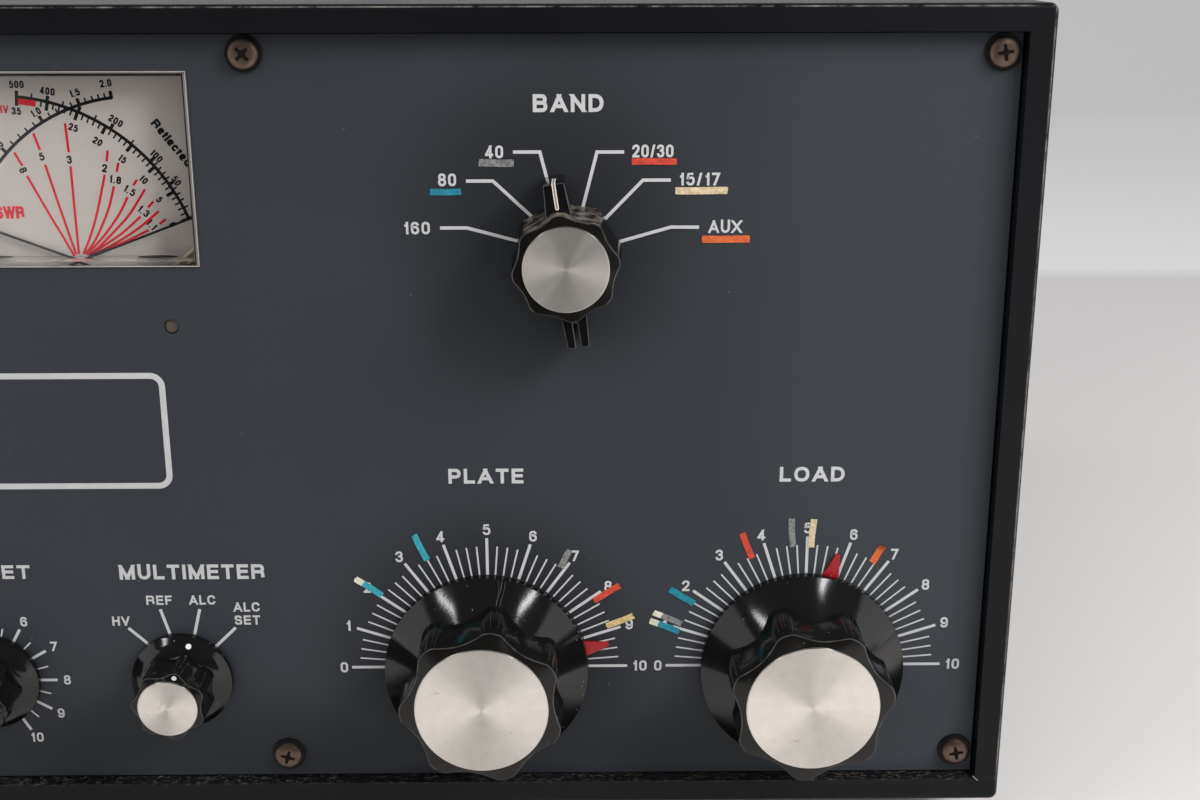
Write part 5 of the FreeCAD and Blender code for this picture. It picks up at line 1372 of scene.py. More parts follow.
@dataclass
class BandKnob(FlutedKnob):
    """Fluted knob with a bar across it: narrow pointer one way, slotted tail the other."""

    bar_height: float = 13.8
    tip_reach: float = 19.1
    tail_reach: float = 19.6
    tip: float = 4.85
    middle: float = 7.6
    tail: float = 5.15
    slot: float = 1.1
    slot_depth: float = 6.0

    def bar(self) -> Piece:
        """Tapered bar with its tail slot, edges broken.

        Returns:
            The bar as one mesh object.
        """
        low, high, deep = -self.tail_reach, self.tip_reach, -self.tail_reach + self.slot_depth
        right = [(self.slot / 2, deep), (self.slot / 2, low), (self.tail / 2, low),
            (self.middle / 2, 0.0), (self.tip / 2, high)]
        outline = right + [(-x, y) for x, y in reversed(right)]
        a = math.radians(self.angle)
        verts = []
        for h in (self.lift, self.bar_height):
            for across, along in outline:
                px = across * math.cos(a) + along * math.sin(a)
                pz = -across * math.sin(a) + along * math.cos(a)
                verts.append(world(self.x + px, self.z + pz, h))
        n = len(outline)
        faces = [tuple(range(n - 1, -1, -1)), tuple(range(n, 2 * n))]
        faces += [(i, (i + 1) % n, n + (i + 1) % n, n + i) for i in range(n)]
        obj = mesh_object("band_knob_bar", verts, faces, PHENOLIC.build())
        bevel = obj.modifiers.new("edge", "BEVEL")
        bevel.width = 0.22 * MM
        bevel.segments = 2
        bevel.limit_method = "ANGLE"
        applied(obj)
        obj.data.shade_smooth()
        obj.data.set_sharp_from_angle(angle=math.radians(50))
        obj.data.materials.append(WORN_AND_HIGHLIT_EDGE.build())
        for poly in obj.data.polygons:
            # Partly painted highlight: the bar's front bevels take the rubbed grey.
            if 0.25 < -poly.normal.y < 0.97:
                poly.material_index = 1
            poly.use_smooth = abs(poly.normal.y) < 0.99
        return obj

    def build(self) -> None:
        """Make the grip, the bar, its white line and the dressed cap."""
        verts, faces = self.shell([Ring(self.lift, self.lobe[0] - 0.2, self.valley[0] - 0.2),
            Ring(self.lift + 0.2, self.lobe[0], self.valley[0])] + self.grip_rings()[1:])
        grip = mesh_object("band_knob_moulding", verts, faces, PHENOLIC.build(), 28.0)
        self.paint_face(grip)
        grip.data.materials.append(DUSTY_PHENOLIC.build())
        for poly in grip.data.polygons:
            if poly.material_index == 0 and poly.normal.z > 0.7:
                poly.material_index = 3
        seat(grip, self.body, self.name, slot="knob_plastic")
        seat(self.bar(), self.body, slot="knob_plastic")
        self.line()
        dress_cap("band_knob_cap", self.x, self.z)

    def line(self) -> None:
        """White filled line along the pointer's face and down its end."""
        a = math.radians(self.angle)

        def at(across: float, along: float, h: float) -> Vector:
            """Point of the line in the bar's own directions."""
            return world(self.x + across * math.cos(a) + along * math.sin(a),
                self.z - across * math.sin(a) + along * math.cos(a), h)

        length, foot, chords = 5.6, 5.0, 8
        for name, ink, half, proud in (("band_knob_line", WHITE_FILL, 0.44, 0.05),
                                       ("band_knob_line_core", BROWN_FILL, 0.17, 0.07)):
            start, end = self.tip_reach - length, self.tip_reach + proud
            verts = []
            for k in range(chords + 1):
                turn = math.pi * k / chords
                verts.append(at(half * math.cos(turn), start - half * math.sin(turn),
                    self.bar_height + proud))
            verts += [at(-half, end, self.bar_height + proud),
                at(half, end, self.bar_height + proud), at(-half, end, self.lift + foot),
                at(half, end, self.lift + foot)]
            left, right = chords + 1, chords + 2
            obj = mesh_object(name, verts, [tuple(range(right + 1)),
                (right, left, right + 1, right + 2)], ink.build())
            for poly in obj.data.polygons:
                if poly.index == 0 and poly.normal.y > 0:
                    poly.flip()
            seat(obj, self.body)


# ---------------------------------------------------------------- screws
@dataclass
class PanelScrews:
    """Cross-recessed pan-head screws, with a flat washer under each one on the panel."""

    xs: tuple[float, ...] = (-166.5, -7.8, 166.5)
    zs: tuple[float, ...] = (13.0, 192.1)
    head: float = 3.55
    rise: float = 1.9
    washer: float = 4.3
    washer_rise: float = 0.8
    side_x: float = 177.8
    side_z: float = 22.0
    side_first: float = -113.15
    side_last: float = 154.05
    side_count: int = 4
    corners: int = 48             # round a head
    # Painted shade fills each cross recess up to this share of the head's rise.
    dirt: float = 0.86            # how far up the head the recess is filled

    def wing(self, off: float) -> float:
        """Reach of the cross recess at an angle from its nearest arm, which tapers outwards."""
        return min(0.58 * self.head, (0.40 if abs(off) < 0.5 else 0.52) / max(abs(math.sin(off)),
            0.05))

    def recess_pattern(self) -> Piece:
        """Painted shade: a dark sheet that fills the cross recess to just under the head's face.

        Returns:
            The linked pattern object.
        """
        verts = []
        count, level = self.corners, -self.dirt * self.rise
        for k in range(count):
            a = 2 * math.pi * k / count
            reach = self.wing((a + math.pi / 4) % (math.pi / 2) - math.pi / 4) * 0.96
            verts.append(Vector((reach * math.cos(a), level, reach * math.sin(a))) * MM)
        faces = [(count, k, (k + 1) % count) for k in range(count)]
        return mesh_object("dirt_pattern", verts + [Vector((0.0, level * MM, 0.0))], faces,
            SCREW_RECESS_SHADE.build())

    def head_pattern(self) -> Piece:
        """Domed head with a tapered cross recess, standing on the origin and facing -Y.

        Returns:
            The linked pattern object.
        """
        count = self.corners
        profile = [(1.0, 0.0), (1.0, 0.42), (0.96, 0.62), (0.84, 0.80), (0.66, 0.92), (0.52, 0.98)]
        verts: list[Vector] = []
        for radius, height in profile:
            for k in range(count):
                a = 2 * math.pi * k / count
                verts.append(Vector((radius * self.head * math.cos(a), -height * self.rise,
                    radius * self.head * math.sin(a))))
        for depth, spread in ((0.98, 1.0), (0.45, 0.72), (0.40, 0.02)):
            for k in range(count):
                a = 2 * math.pi * k / count
                off = (a + math.pi / 4) % (math.pi / 2) - math.pi / 4
                wing = self.wing(off)
                verts.append(Vector((wing * spread * math.cos(a), -depth * self.rise,
                    wing * spread * math.sin(a))))
        faces = walls(0, len(verts) // count, count)
        faces.append(tuple(range(len(verts) - count, len(verts))))
        faces.append(tuple(range(count - 1, -1, -1)))
        return mesh_object("screw_pattern", [v * MM for v in verts], faces, SCREW_STEEL.build())

    def washer_pattern(self) -> Piece:
        """Flat washer with broken edges, standing on the origin and facing -Y.

        Returns:
            The linked pattern object.
        """
        count = 40
        profile = [(2.0, 0.0), (self.washer - 0.1, 0.0), (self.washer, 0.12),
            (self.washer, self.washer_rise - 0.15), (self.washer - 0.15, self.washer_rise),
            (2.0, self.washer_rise)]
        verts = [Vector((r * math.cos(2 * math.pi * k / count), -h,
            r * math.sin(2 * math.pi * k / count))) * MM for r, h in profile for k in range(count)]
        faces = walls(0, len(profile), count, wrap=True)
        return mesh_object("washer_pattern", verts, faces, WASHER_BLACK.build())

    def build(self) -> None:
        """Spread heads and washers over the panel and the cover's sides."""
        chance = random.Random(7)
        places, turns, washers = [], [], []
        for z in self.zs:
            for x in self.xs:
                washers.append(world(x, z, 0.0))
                places.append(world(x, z, self.washer_rise))
                turns.append((0.0, chance.uniform(0.1, 1.4), 0.0))
        turns[5] = (0.0, math.radians(-8), 0.0)
        turns[2] = (0.0, math.radians(-10), 0.0)
        for side in (-1, 1):
            for k in range(self.side_count):
                y = self.side_first + (self.side_last - self.side_first) * k / (self.side_count - 1)
                places.append(Vector((side * self.side_x * MM, y * MM, (FOOT + self.side_z) * MM)))
                turns.append((0.0, chance.uniform(0.1, 1.4), side * math.pi / 2))
        heads = Repeater.spread("screw_heads", self.head_pattern(), places, turns, SCREW_STEEL)
        seat(heads, CABINET, "screws_and_washers", slot="screw_steel")
        # Painted shade: a dark sheet in every cross recess.
        seat(Repeater.spread("screw_recess_dirt", self.recess_pattern(), places, turns, SCREW_RECESS_SHADE),
            CABINET)
        rings = Repeater.spread("screw_washers", self.washer_pattern(), washers,
            [(0.0, 0.0, 0.0)] * len(washers), WASHER_BLACK)
        seat(rings, CABINET)


# ---------------------------------------------------------------- panel print
@dataclass
class PanelPrint:
    """White screen print of the front panel, and the bare plate outline."""

    height: float = 0.04
    plate: Point = (45.13, 37.5)
    load: Point = (125.85, 37.5)
    alc: Point = (-82.6, 34.4)
    bold: float = 0.215           # stroke of the titles, in capital heights
    plain: float = 0.19           # stroke of the labels and numbers
    spoke: float = 0.78           # width of the leader lines
    major: float = 0.74           # widths of the ticks
    minor: float = 0.40

    def build(self) -> None:
        """Print titles, labels, spokes, scales and the outline."""
        ink = Print("panel_lettering", self.height, WHITE_INK)
        self.titles(ink)
        self.band_labels(ink)
        self.multimeter_labels(ink)
        self.switch_labels(ink)
        self.scale_numbers(ink)
        ink.finish()
        self.ticks().finish()
        frame_line = Print("panel_outline", self.height, WHITE_INK)
        self.outline(frame_line)
        frame_line.finish()

    def titles(self, ink: Print) -> None:
        """Control names in capitals."""
        for words, at, cap, wide in (
                ("BAND", (66.4, 180.7), 4.1, 16.4), ("PLATE", (45.3, 89.4), 3.9, 18.6),
                ("LOAD", (126.4, 89.5), 3.9, 16.2), ("MULTIMETER", (-29.4, 64.2), 4.0, 36.6),
                ("ALC SET", (-82.6, 64.4), 3.7, 25.0)):
            ink.text(words, at, cap, wide, weight=self.bold)

    def band_labels(self, ink: Print) -> None:
        """Band numbers with their bent leader lines."""
        labels = {"160": (30.3, 151.6, 6.3), "80": (37.85, 163.0, 4.2), "40": (49.0, 169.5, 4.2),
            "20/30": (86.1, 169.6, 9.6), "15/17": (97.1, 163.0, 9.7), "AUX": (103.4, 151.7, 7.8)}
        for words, (x, z, wide) in labels.items():
            ink.text(words, (x, z), 3.0, wide, weight=self.plain)
        spokes = [[(35.85, 151.6), (42.24, 151.6), (54.25, 148.4)],
                  [(42.3, 162.7), (48.6, 162.7), (57.7, 154.15)],
                  [(53.4, 169.45), (59.7, 169.45), (61.6, 162.0)],
                  [(79.4, 169.4), (73.05, 169.4), (69.7, 156.5)],
                  [(90.4, 162.8), (83.85, 162.8), (74.4, 153.1)],
                  [(97.2, 151.6), (90.55, 151.65), (78.0, 148.1)]]
        for spoke in spokes:
            ink.path(spoke, self.spoke)

    def multimeter_labels(self, ink: Print) -> None:
        """Meter switch positions with their short lines."""
        for words, x, z, wide in (("HV", -48.45, 50.8, 4.4), ("REF", -38.3, 56.5, 6.5),
                                  ("ALC", -27.4, 56.5, 6.6), ("ALC", -16.3, 54.5, 6.6),
                                  ("SET", -16.3, 50.9, 6.5)):
            ink.text(words, (x, z), 2.55, wide, weight=0.2)
        for a, b in (((-46.7, 48.85), (-42.2, 44.55)), ((-38.2, 54.0), (-36.3, 47.2)),
                     ((-28.2, 54.0), (-30.0, 47.0)), ((-19.4, 48.8), (-24.9, 43.5))):
            ink.line(a, b, self.spoke)

    def switch_labels(self, ink: Print) -> None:
        """Words beside the rockers."""
        for words, x, z in (("ON", -150.0, 55.4), ("OFF", -150.0, 20.6), ("OPR", -122.0, 55.4),
                            ("STBY", -122.0, 20.6)):
            ink.text(words, (x, z), 2.5, weight=0.18)

    def scale_numbers(self, ink: Print) -> None:
        """Numbers round the tuning dials and the ALC control."""
        for centre in (self.plate, self.load):
            for value in range(11):
                a = math.radians(180 - 18 * value)
                reach = {0: 37.4, 10: 38.6}.get(value, 37.7)
                ink.text(str(value), (centre[0] + reach * math.cos(a),
                    centre[1] + reach * math.sin(a)), 2.9, weight=self.plain)
        for value in range(11):
            a = math.radians(240 - 30 * value)
            ink.text(str(value), (self.alc[0] + 18.9 * math.cos(a),
                self.alc[1] + 18.9 * math.sin(a)), 2.65, weight=self.plain)

    def ticks(self) -> Ticks:
        """Ticks of both tuning dials and of the ALC control.

        Returns:
            The tick marks, not yet made.
        """
        marks = Ticks("panel_scale_ticks", self.height, WHITE_INK)
        for centre in (self.plate, self.load):
            for k in range(41):
                major = k % 4 == 0
                marks.add(centre, 180 - 4.5 * k, 25.5, 35.4 if major else 33.2,
                    self.major if major else self.minor)
        for k in range(21):
            major = k % 2 == 0
            marks.add(self.alc, 240 - 15 * k, 12.0, 16.4 if major else 14.9,
                self.major if major else self.minor)
        return marks

    def outline(self, ink: Print) -> None:
        """Rounded outline that stays bare inside."""
        x0, x1, z0, z1, r = -98.8, -32.2, 86.54, 116.35, 2.8
        points = []
        for cx, cz, first in ((x1 - r, z1 - r, 90), (x0 + r, z1 - r, 180), (x0 + r, z0 + r, 270),
                              (x1 - r, z0 + r, 360)):
            for k in range(9):
                a = math.radians(first - 90 + 90 * k / 8)
                points.append((cx + r * math.cos(a), cz + r * math.sin(a)))
        inset = 0.75
        cx, cz = (x0 + x1) / 2, (z0 + z1) / 2
        points = [(x - math.copysign(inset, x - cx), z - math.copysign(inset, z - cz)) for x,
            z in points]
        ink.path(points, 1.5, closed=True)


# ---------------------------------------------------------------- tape marks
@dataclass
class Tape:
    """Strip of coloured tape stuck on the panel, slightly wavy and uneven at its ends."""

    name: str
    a: Point
    b: Point
    width: float
    colour: str
    curl: float = 0.0             # how far the far end has lifted, mm
    pale: str | None = None       # colour of the first stretch, where two tapes overlap

    gap, thick = 0.03, 0.11       # under the tape, and through it, mm
    lowest = 0.02                 # least height over the panel, mm
    ragged = 0.18                 # how far the cut ends stray, mm
    sway, ripple = 0.06, 0.05     # waves along its sides and of its face, mm
    curl_from, curl_rate = 0.72, 6.5  # share of the length where it starts to lift, and how fast
    overlap = 0.27                # share of the length that is pale

    def build(self) -> None:
        """Make the strip and stick it on."""
        chance = random.Random(self.name)
        steps, across = 14, 4
        dx, dz = self.b[0] - self.a[0], self.b[1] - self.a[1]
        size = math.hypot(dx, dz)
        ux, uz = dx / size, dz / size
        verts: list[Vector] = []
        ends = [[chance.uniform(-self.ragged, self.ragged) for _ in range(across + 1)]
            for _ in range(2)]
        for level in (0.0, self.thick):
            for i in range(steps + 1):
                t = i / steps
                bend = self.sway * math.sin(t * 5 + self.a[0])
                for j in range(across + 1):
                    s = (j / across - 0.5) * self.width
                    along = t * size + (ends[0][j] * (1 - t) + ends[1][j] * t)
                    lifted = max(0.0, t - self.curl_from) ** 1.5
                    lift = self.gap + level + self.curl * lifted * self.curl_rate
                    lift += self.ripple * math.sin(9 * t + 3 * j / across + self.b[1]) * (level > 0)
                    verts.append(world(self.a[0] + ux * along - uz * (s + bend),
                        self.a[1] + uz * along + ux * (s + bend), max(self.lowest, lift)))
        faces: list[Face] = []
        row, block = across + 1, (steps + 1) * (across + 1)
        for i in range(steps):
            for j in range(across):
                k = i * row + j
                faces.append((block + k, block + k + row, block + k + row + 1, block + k + 1))
                faces.append((k, k + 1, k + row + 1, k + row))
            for j, flip in ((0, False), (across, True)):
                k = i * row + j
                quad = (k, k + row, block + k + row, block + k)
                faces.append(quad[::-1] if flip else quad)
        for i, flip in ((0, True), (steps, False)):
            for j in range(across):
                k = i * row + j
                quad = (k, k + 1, block + k + 1, block + k)
                faces.append(quad[::-1] if flip else quad)
        deep, crease = (0.45, 0.7) if self.colour == GREY else (0.72, 0.9)
        finish = Finish(f"tape_{self.colour[1:].lower()}", self.colour, mixed(self.colour, deep),
            0.5, patch_mm=crease, grain=Grain.CAST, grain_mm=0.35, relief=0.35, sharp=0.5)
        obj = mesh_object(self.name, verts, faces, finish.build(), 40.0)
        if self.pale:
            end = Finish(f"tape_{self.pale[1:].lower()}", self.pale, mixed(self.pale, 0.85), 0.55,
                patch_mm=2.0, grain=Grain.CAST, grain_mm=0.35, relief=0.35)
            obj.data.materials.append(end.build())
            first = world(self.a[0], self.a[1], 0.0)
            for poly in obj.data.polygons:
                if (poly.center - first).length < size * MM * self.overlap:
                    poly.material_index = 1
        fix_normals(obj)
        seat(obj, CABINET)


def mixed(code: str, share: float) -> str:
    """Darken an sRGB hex colour by a factor on each channel."""
    return "#" + "".join(f"{int(int(code[i:i + 2], 16) * share):02X}" for i in (1, 3, 5))


def fix_normals(obj: Piece) -> None:
    """Point all faces of a closed mesh outwards."""
    work = bmesh.new()
    work.from_mesh(obj.data)
    bmesh.ops.recalc_face_normals(work, faces=work.faces)
    work.to_mesh(obj.data)
    work.free()


CYAN, PALE_CYAN, GREY, RED = "#1A8699", "#35A5B3", "#8E8F8C", "#D4462F"
ORANGE, CREAM, YELLOW, CLOTH = "#DF6733", "#DDC99F", "#D5BC80", "#D9D3BE"
TAPES = [
    Tape("tape_band_40", (45.4, 166.95), (53.6, 166.9), 1.7, GREY),
    Tape("tape_band_80", (33.8, 160.15), (41.1, 160.15), 1.5, CYAN),
    Tape("tape_band_20", (81.2, 167.15), (91.65, 167.15), 1.5, RED),
    Tape("tape_band_15", (91.4, 160.3), (103.8, 160.25), 1.7, CREAM),
    Tape("tape_band_aux", (97.9, 148.75), (109.3, 148.65), 1.7, ORANGE),
    Tape("tape_plate_a", (11.7, 62.1), (18.3, 57.5), 1.6, PALE_CYAN, pale=CLOTH),
    Tape("tape_plate_b", (26.9, 73.8), (30.0, 67.1), 1.6, PALE_CYAN),
    Tape("tape_plate_c", (65.9, 69.5), (63.6, 64.9), 1.6, GREY),
    Tape("tape_plate_d", (78.5, 59.85), (72.0, 55.75), 1.6, RED),
    Tape("tape_plate_e", (82.05, 51.5), (75.2, 48.6), 1.6, YELLOW),
    Tape("tape_load_a", (87.3, 52.3), (94.5, 49.2), 1.5, GREY, pale=CLOTH),
    Tape("tape_load_b", (86.4, 50.1), (93.8, 47.0), 1.6, CYAN, pale=CLOTH),
    Tape("tape_load_c", (91.4, 58.8), (97.5, 54.7), 1.7, CYAN),
    Tape("tape_load_d", (109.4, 73.8), (112.0, 67.1), 1.6, RED),
    Tape("tape_load_e", (121.65, 77.7), (122.15, 70.2), 1.6, GREY),
    Tape("tape_load_f", (127.25, 77.6), (126.8, 69.9), 1.6, CREAM),
    Tape("tape_load_g", (142.4, 65.8), (145.0, 70.4), 1.8, ORANGE, curl=0.8),
]


# ---------------------------------------------------------------- meters
class Scale(Enum):
    """What a meter shows."""

    POWER = 1
    CURRENT = 2


@dataclass
class MeterDial:
    """Printed scales of one cross-needle meter, in millimetres from its own sill's middle."""

    tag: str
    x: float
    scale: Scale
    sill: float = 142.4
    depth: float = 7.06
    pivot: Point = (15.3, -5.3)
    radius: float = 44.9
    second: Point = (16.1, -4.1)
    second_radius: float = 43.6
    zero: float = 20.6
    full: float = 85.0
    width: float = 60.8
    tall: float = 46.0
    cut: tuple[Point, Point] = ((28.6, 4.1), (22.5, -0.9))
    line: float = 0.78            # width of the arcs
    major: float = 0.82           # widths of the ticks
    minor: float = 0.42
    cap: float = 1.75             # height of the numbers
    bold: float = 0.235           # their stroke, in capital heights

    def at(self, x: float, z: float) -> Point:
        """Panel place of a dial place."""
        return self.x + x, self.sill + z

    def swing(self, share: float) -> float:
        """Needle angle in degrees for a share of full scale."""
        return self.zero + (self.full - self.zero) * share

    def build(self) -> None:
        """Print both arcs with their ticks, numbers and the crossing lines."""
        black = Print(f"{self.tag}_dial_black", -self.depth, BLACK_INK)
        red = Print(f"{self.tag}_dial_red", -self.depth + 0.01, RED_INK)
        ticks = Ticks(f"{self.tag}_dial_ticks", -self.depth + 0.005, BLACK_INK)
        left, right = self.at(-self.pivot[0], self.pivot[1]), self.at(*self.second)
        black.arc(left, self.radius, self.zero - 0.4, self.full + 0.2, self.line)
        black.arc(right, self.second_radius, 180 - self.zero + 1.5, 180 - self.full + 1.7,
            self.line)
        if self.scale is Scale.POWER:
            self.power_scales(black, red, ticks, left, right)
            self.crossing_lines(black, red)
        else:
            self.current_scales(black, ticks, left, right)
        for item in (black, red):
            if item.verts:
                item.finish()
        ticks.finish()
        self.bright_edges()

    def bright_edges(self) -> None:
        """Painted light and shade round the window: a highlight along its front edge, light on its
        side walls and under the dial's clipped corners, glints along those corners and shadows on
        the sill; also the dial's lower lip.
        """
        # Painted highlight along the window's front edge.
        rim_highlight = Finish("polished_acrylic_edge", "#C9C4BF", "#98928D", 0.3, patch_mm=3.0,
            grain=Grain.NONE)
        rim = Print(f"{self.tag}_window_edge", 0.44, rim_highlight)
        half, low, high = self.width / 2 - 0.27, 0.27, self.tall - 0.27
        rim.path([self.at(-half, low), self.at(half, low), self.at(half, high),
            self.at(-half, high)], 0.15, closed=True)
        rim.finish()
        # Painted light on the window's side walls.
        glow = Finish("lit_acrylic_wall", "#7C746E", "#68615C", 0.35, patch_mm=6.0,
            grain=Grain.NONE)
        wall = Print(f"{self.tag}_window_wall", 0.42, glow)
        for x in (-half + 0.36, half - 0.36):
            wall.line(self.at(x, low), self.at(x, high), 0.34)
        wall.line(self.at(-half, high - 0.26), self.at(half, high - 0.26), 0.26)
        wall.finish()
        lip = Print(f"{self.tag}_dial_lower_lip", -self.depth - 0.06, DIAL_ENAMEL)
        inner, cut = self.width / 2 - 1.5, self.cut
        lip.add_loop([self.at(*p) for p in ((-cut[0][0], cut[0][1]), (-cut[1][0], cut[1][1]),
            cut[1], cut[0], (inner, 6.2), (-inner, 6.2))])
        lip.finish()
        verts: list[Vector] = []
        faces = []
        # Painted shadows on the sill: two round ones and a long thin one between them.
        for middle, reach, h, deep in ((-19.6, 4.9, -3.1, 1.9), (19.6, 4.9, -3.1, 1.9),
                                       (0.0, 25.5, -4.0, 0.28)):
            faces.append(tuple(range(len(verts), len(verts) + 16)))
            verts += [world(self.x + middle + reach * math.cos(k * math.pi / 8), self.sill + 2.0,
                h + deep * math.sin(k * math.pi / 8)) for k in range(16)]
        seat(mesh_object(f"{self.tag}_sill_shadows", verts, faces, BLACK_INK.build()), CABINET)
        # Painted light under the dial's clipped corners.
        lit = Print(f"{self.tag}_dial_corner_glow", -self.depth - 0.03,
            Finish("lit_case_corner", "#A89D90", "#6E655C", 0.4, patch_mm=1.2, sharp=0.5))
        for side in (-1, 1):
            lit.add_loop([self.at(side * x, z) for x,
                z in (cut[0], (30.3, cut[0][1]), (30.3, cut[1][1]), cut[1])])
        lit.finish()
        # Painted glints along the clipped corners.
        bright = Finish("cut_dial_edge", "#FDF3DA", "#E6D8B4", 0.4, patch_mm=1.5, grain=Grain.NONE)
        corners = Print(f"{self.tag}_dial_cut_corners", -self.depth + 0.02, bright)
        for side in (-1, 1):
            corners.line(self.at(side * (cut[0][0] - 0.1), cut[0][1] + 0.1),
                self.at(side * (cut[1][0] + 0.1), cut[1][1] + 0.1), 0.6)
            corners.line(self.at(side * (cut[0][0] + 0.9), cut[0][1] - 1.6),
                self.at(side * (cut[1][0] + 3.4), cut[1][1] + 0.6), 0.4)
        corners.finish()

    def power_scales(self, black: Print, red: Print, ticks: Ticks, left: Point,
                     right: Point) -> None:
        """Reflected and high-voltage scales on one arc, forward power on the other.

        Args:
            black: Black print.
            red: Red print.
            ticks: Tick marks.
            left: Left pivot on the panel.
            right: Right pivot on the panel.
        """
        r = self.radius
        # Reflected power at 0, 50 and every 100 to 500.
        for angle in (20.6, 32.3, 41.0, 55.9, 66.4, 76.0, 85.0):
            ticks.add(left, angle, r - 0.2, r + 1.45, self.major)
        for angle in (24.2, 26.6, 28.6, 30.5, 34.2, 35.9, 37.7, 39.4, 48.6, 61.2, 71.3, 80.6):
            ticks.add(left, angle, r, r + 1.2, self.minor)
        for value in range(36):
            major = value % 5 == 0
            ticks.add(left, self.swing(value / 35), r - (2.1 if major else 1.5), r,
                self.major if major else self.minor)
        # Red field of the high-voltage scale.
        low, high, steps = 79.2, 84.6, 6
        pts = []
        for q, order in ((r - 0.35, range(steps + 1)), (r - 1.75, range(steps, -1, -1))):
            for k in order:
                t = math.radians(high + (low - high) * k / steps)
                pts.append((left[0] + q * math.cos(t), left[1] + q * math.sin(t)))
        red.add_loop(pts)
        r = self.second_radius
        # Forward power at every 0.5 to 2.0.
        for angle in (18.8, 44.3, 59.8, 72.7, 83.0):
            ticks.add(right, 180 - angle, r - 0.2, r + 1.6, self.major)
        for angle in (25.8, 31.3, 36.1, 40.4, 47.8, 51.0, 54.0, 57.0, 62.7,
                      65.3, 67.9, 70.3, 74.9, 77.1, 79.1, 81.0):
            ticks.add(right, 180 - angle, r, r + 1.25, self.minor)
        for words, x, z, turn in (
                ("500", -11.14, 42.3, 0), ("400", -4.07, 40.74, -9), ("200", 11.33, 33.8, -33),
                ("100", 20.2, 25.5, -47), ("50", 24.47, 19.58, -56), ("2.0", 9.7, 42.52, 7),
                ("1.5", 2.26, 40.3, 16), ("1.0", -7.28, 35.83, 28), (".5", -16.65, 28.33, 42),
                ("35", -11.8, 36.12, -4), ("25", 1.19, 32.26, -20), ("20", 6.6, 28.98, -32),
                ("15", 12.1, 24.81, -40), ("10", 16.71, 19.89, -48), ("5", 20.06, 15.09, -58),
                ("0", 22.77, 9.07, -68)):
            black.text(words, self.at(x, z), self.cap, turn=turn, weight=self.bold, squeeze=0.82)
        red.text("HV", self.at(-14.95, 36.55), 1.8, 2.7, weight=0.23)
        red.text("SWR", self.at(-15.95, 12.13), 3.0, 6.8, weight=0.25, gap=0.12)
        black.text("Reflected", self.at(24.1, 28.6), 2.15, 13.0, turn=-53, weight=0.27, gap=0.08)
        black.text("Forward", self.at(-24.1, 28.6), 2.15, 11.4, turn=53, weight=0.27, gap=0.08)

    @staticmethod
    def curved(bends: Loop) -> Loop:
        """Smooth line through a few points.

        Args:
            bends: The points.

        Returns:
            Six points for every stretch between them.
        """
        ends = [bends[0], *bends, bends[-1]]
        out = [bends[0]]
        for a, b, c, d in zip(ends, ends[1:], ends[2:], ends[3:]):
            for k in range(1, 7 if len(bends) > 2 else 2):
                t = k / 6 if len(bends) > 2 else 1.0
                out.append(tuple(0.5 * (2 * q + (r - p) * t + (2 * p - 5 * q + 4 * r - s) * t ** 2
                    + (3 * q - p - 3 * r + s) * t ** 3) for p, q, r, s in zip(a, b, c, d)))
        return out

    def crossing_lines(self, black: Print, red: Print) -> None:
        """Red standing-wave lines that fan out between the pivots, broken for their numbers.

        Args:
            black: Black print for the numbers.
            red: Red print for the lines.
        """
        fan = [
            [(-13.37, 26.46), (-11.75, 23.3)],
            [(-10.9, 20.9), (-6.5, 11.6), (-4.3, 7.2), (-1.5, 1.4)],
            [(-8.37, 30.93), (-7.2, 27.02)], [(-6.33, 23.57), (-3.96, 13.63), (-1.1, 1.9)],
            [(-0.66, 33.26), (-0.45, 26.42)], [(-0.36, 23.12), (-0.4, 1.95)],
            [(8.78, 26.83), (8.31, 24.25)],
            [(7.55, 21.08), (4.85, 11.82), (2.6, 5.9), (0.65, 1.95)],
            [(11.07, 23.95), (10.47, 21.79)],
            [(9.5, 18.32), (7.57, 12.52), (3.9, 5.4), (1.1, 1.95)], [(15.12, 19.9), (14.14, 18.54)],
            [(12.5, 15.7), (9.92, 11.27), (5.93, 6.27), (1.5, 1.8)],
            [(16.8, 17.57), (12.79, 11.79), (8.51, 7.34), (4.8, 3.9), (1.9, 1.6)],
            [(18.58, 14.65), (17.15, 13.2)],
            [(15.22, 11.05), (10.62, 7.15), (5.71, 3.93), (2.1, 1.5)],
            [(19.69, 12.31), (14.99, 8.57), (9.36, 5.0), (2.6, 1.45)],
            [(21.27, 10.4), (19.58, 9.23)], [(16.9, 7.75), (11.13, 5.0), (5.61, 2.85), (2.3, 1.3)]]
        for bends in fan:
            red.path(self.curved([self.at(*p) for p in bends]), 0.58)
        for words, x, z, turn, cap in (
                ("8", -11.67, 22.23, -68, 1.9), ("5", -6.94, 25.44, 8, 1.95),
                ("3", -0.5, 24.7, 2, 1.95), ("2", 7.67, 22.66, -8, 1.95),
                ("1.8", 9.93, 19.91, -10, 1.85), ("1.5", 13.16, 17.29, -34, 1.85),
                ("1.3", 16.06, 12.32, -42, 1.85), ("1.1", 17.68, 9.09, -50, 1.85)):
            black.text(words, self.at(x, z), cap, turn=turn, weight=0.225, squeeze=0.92)

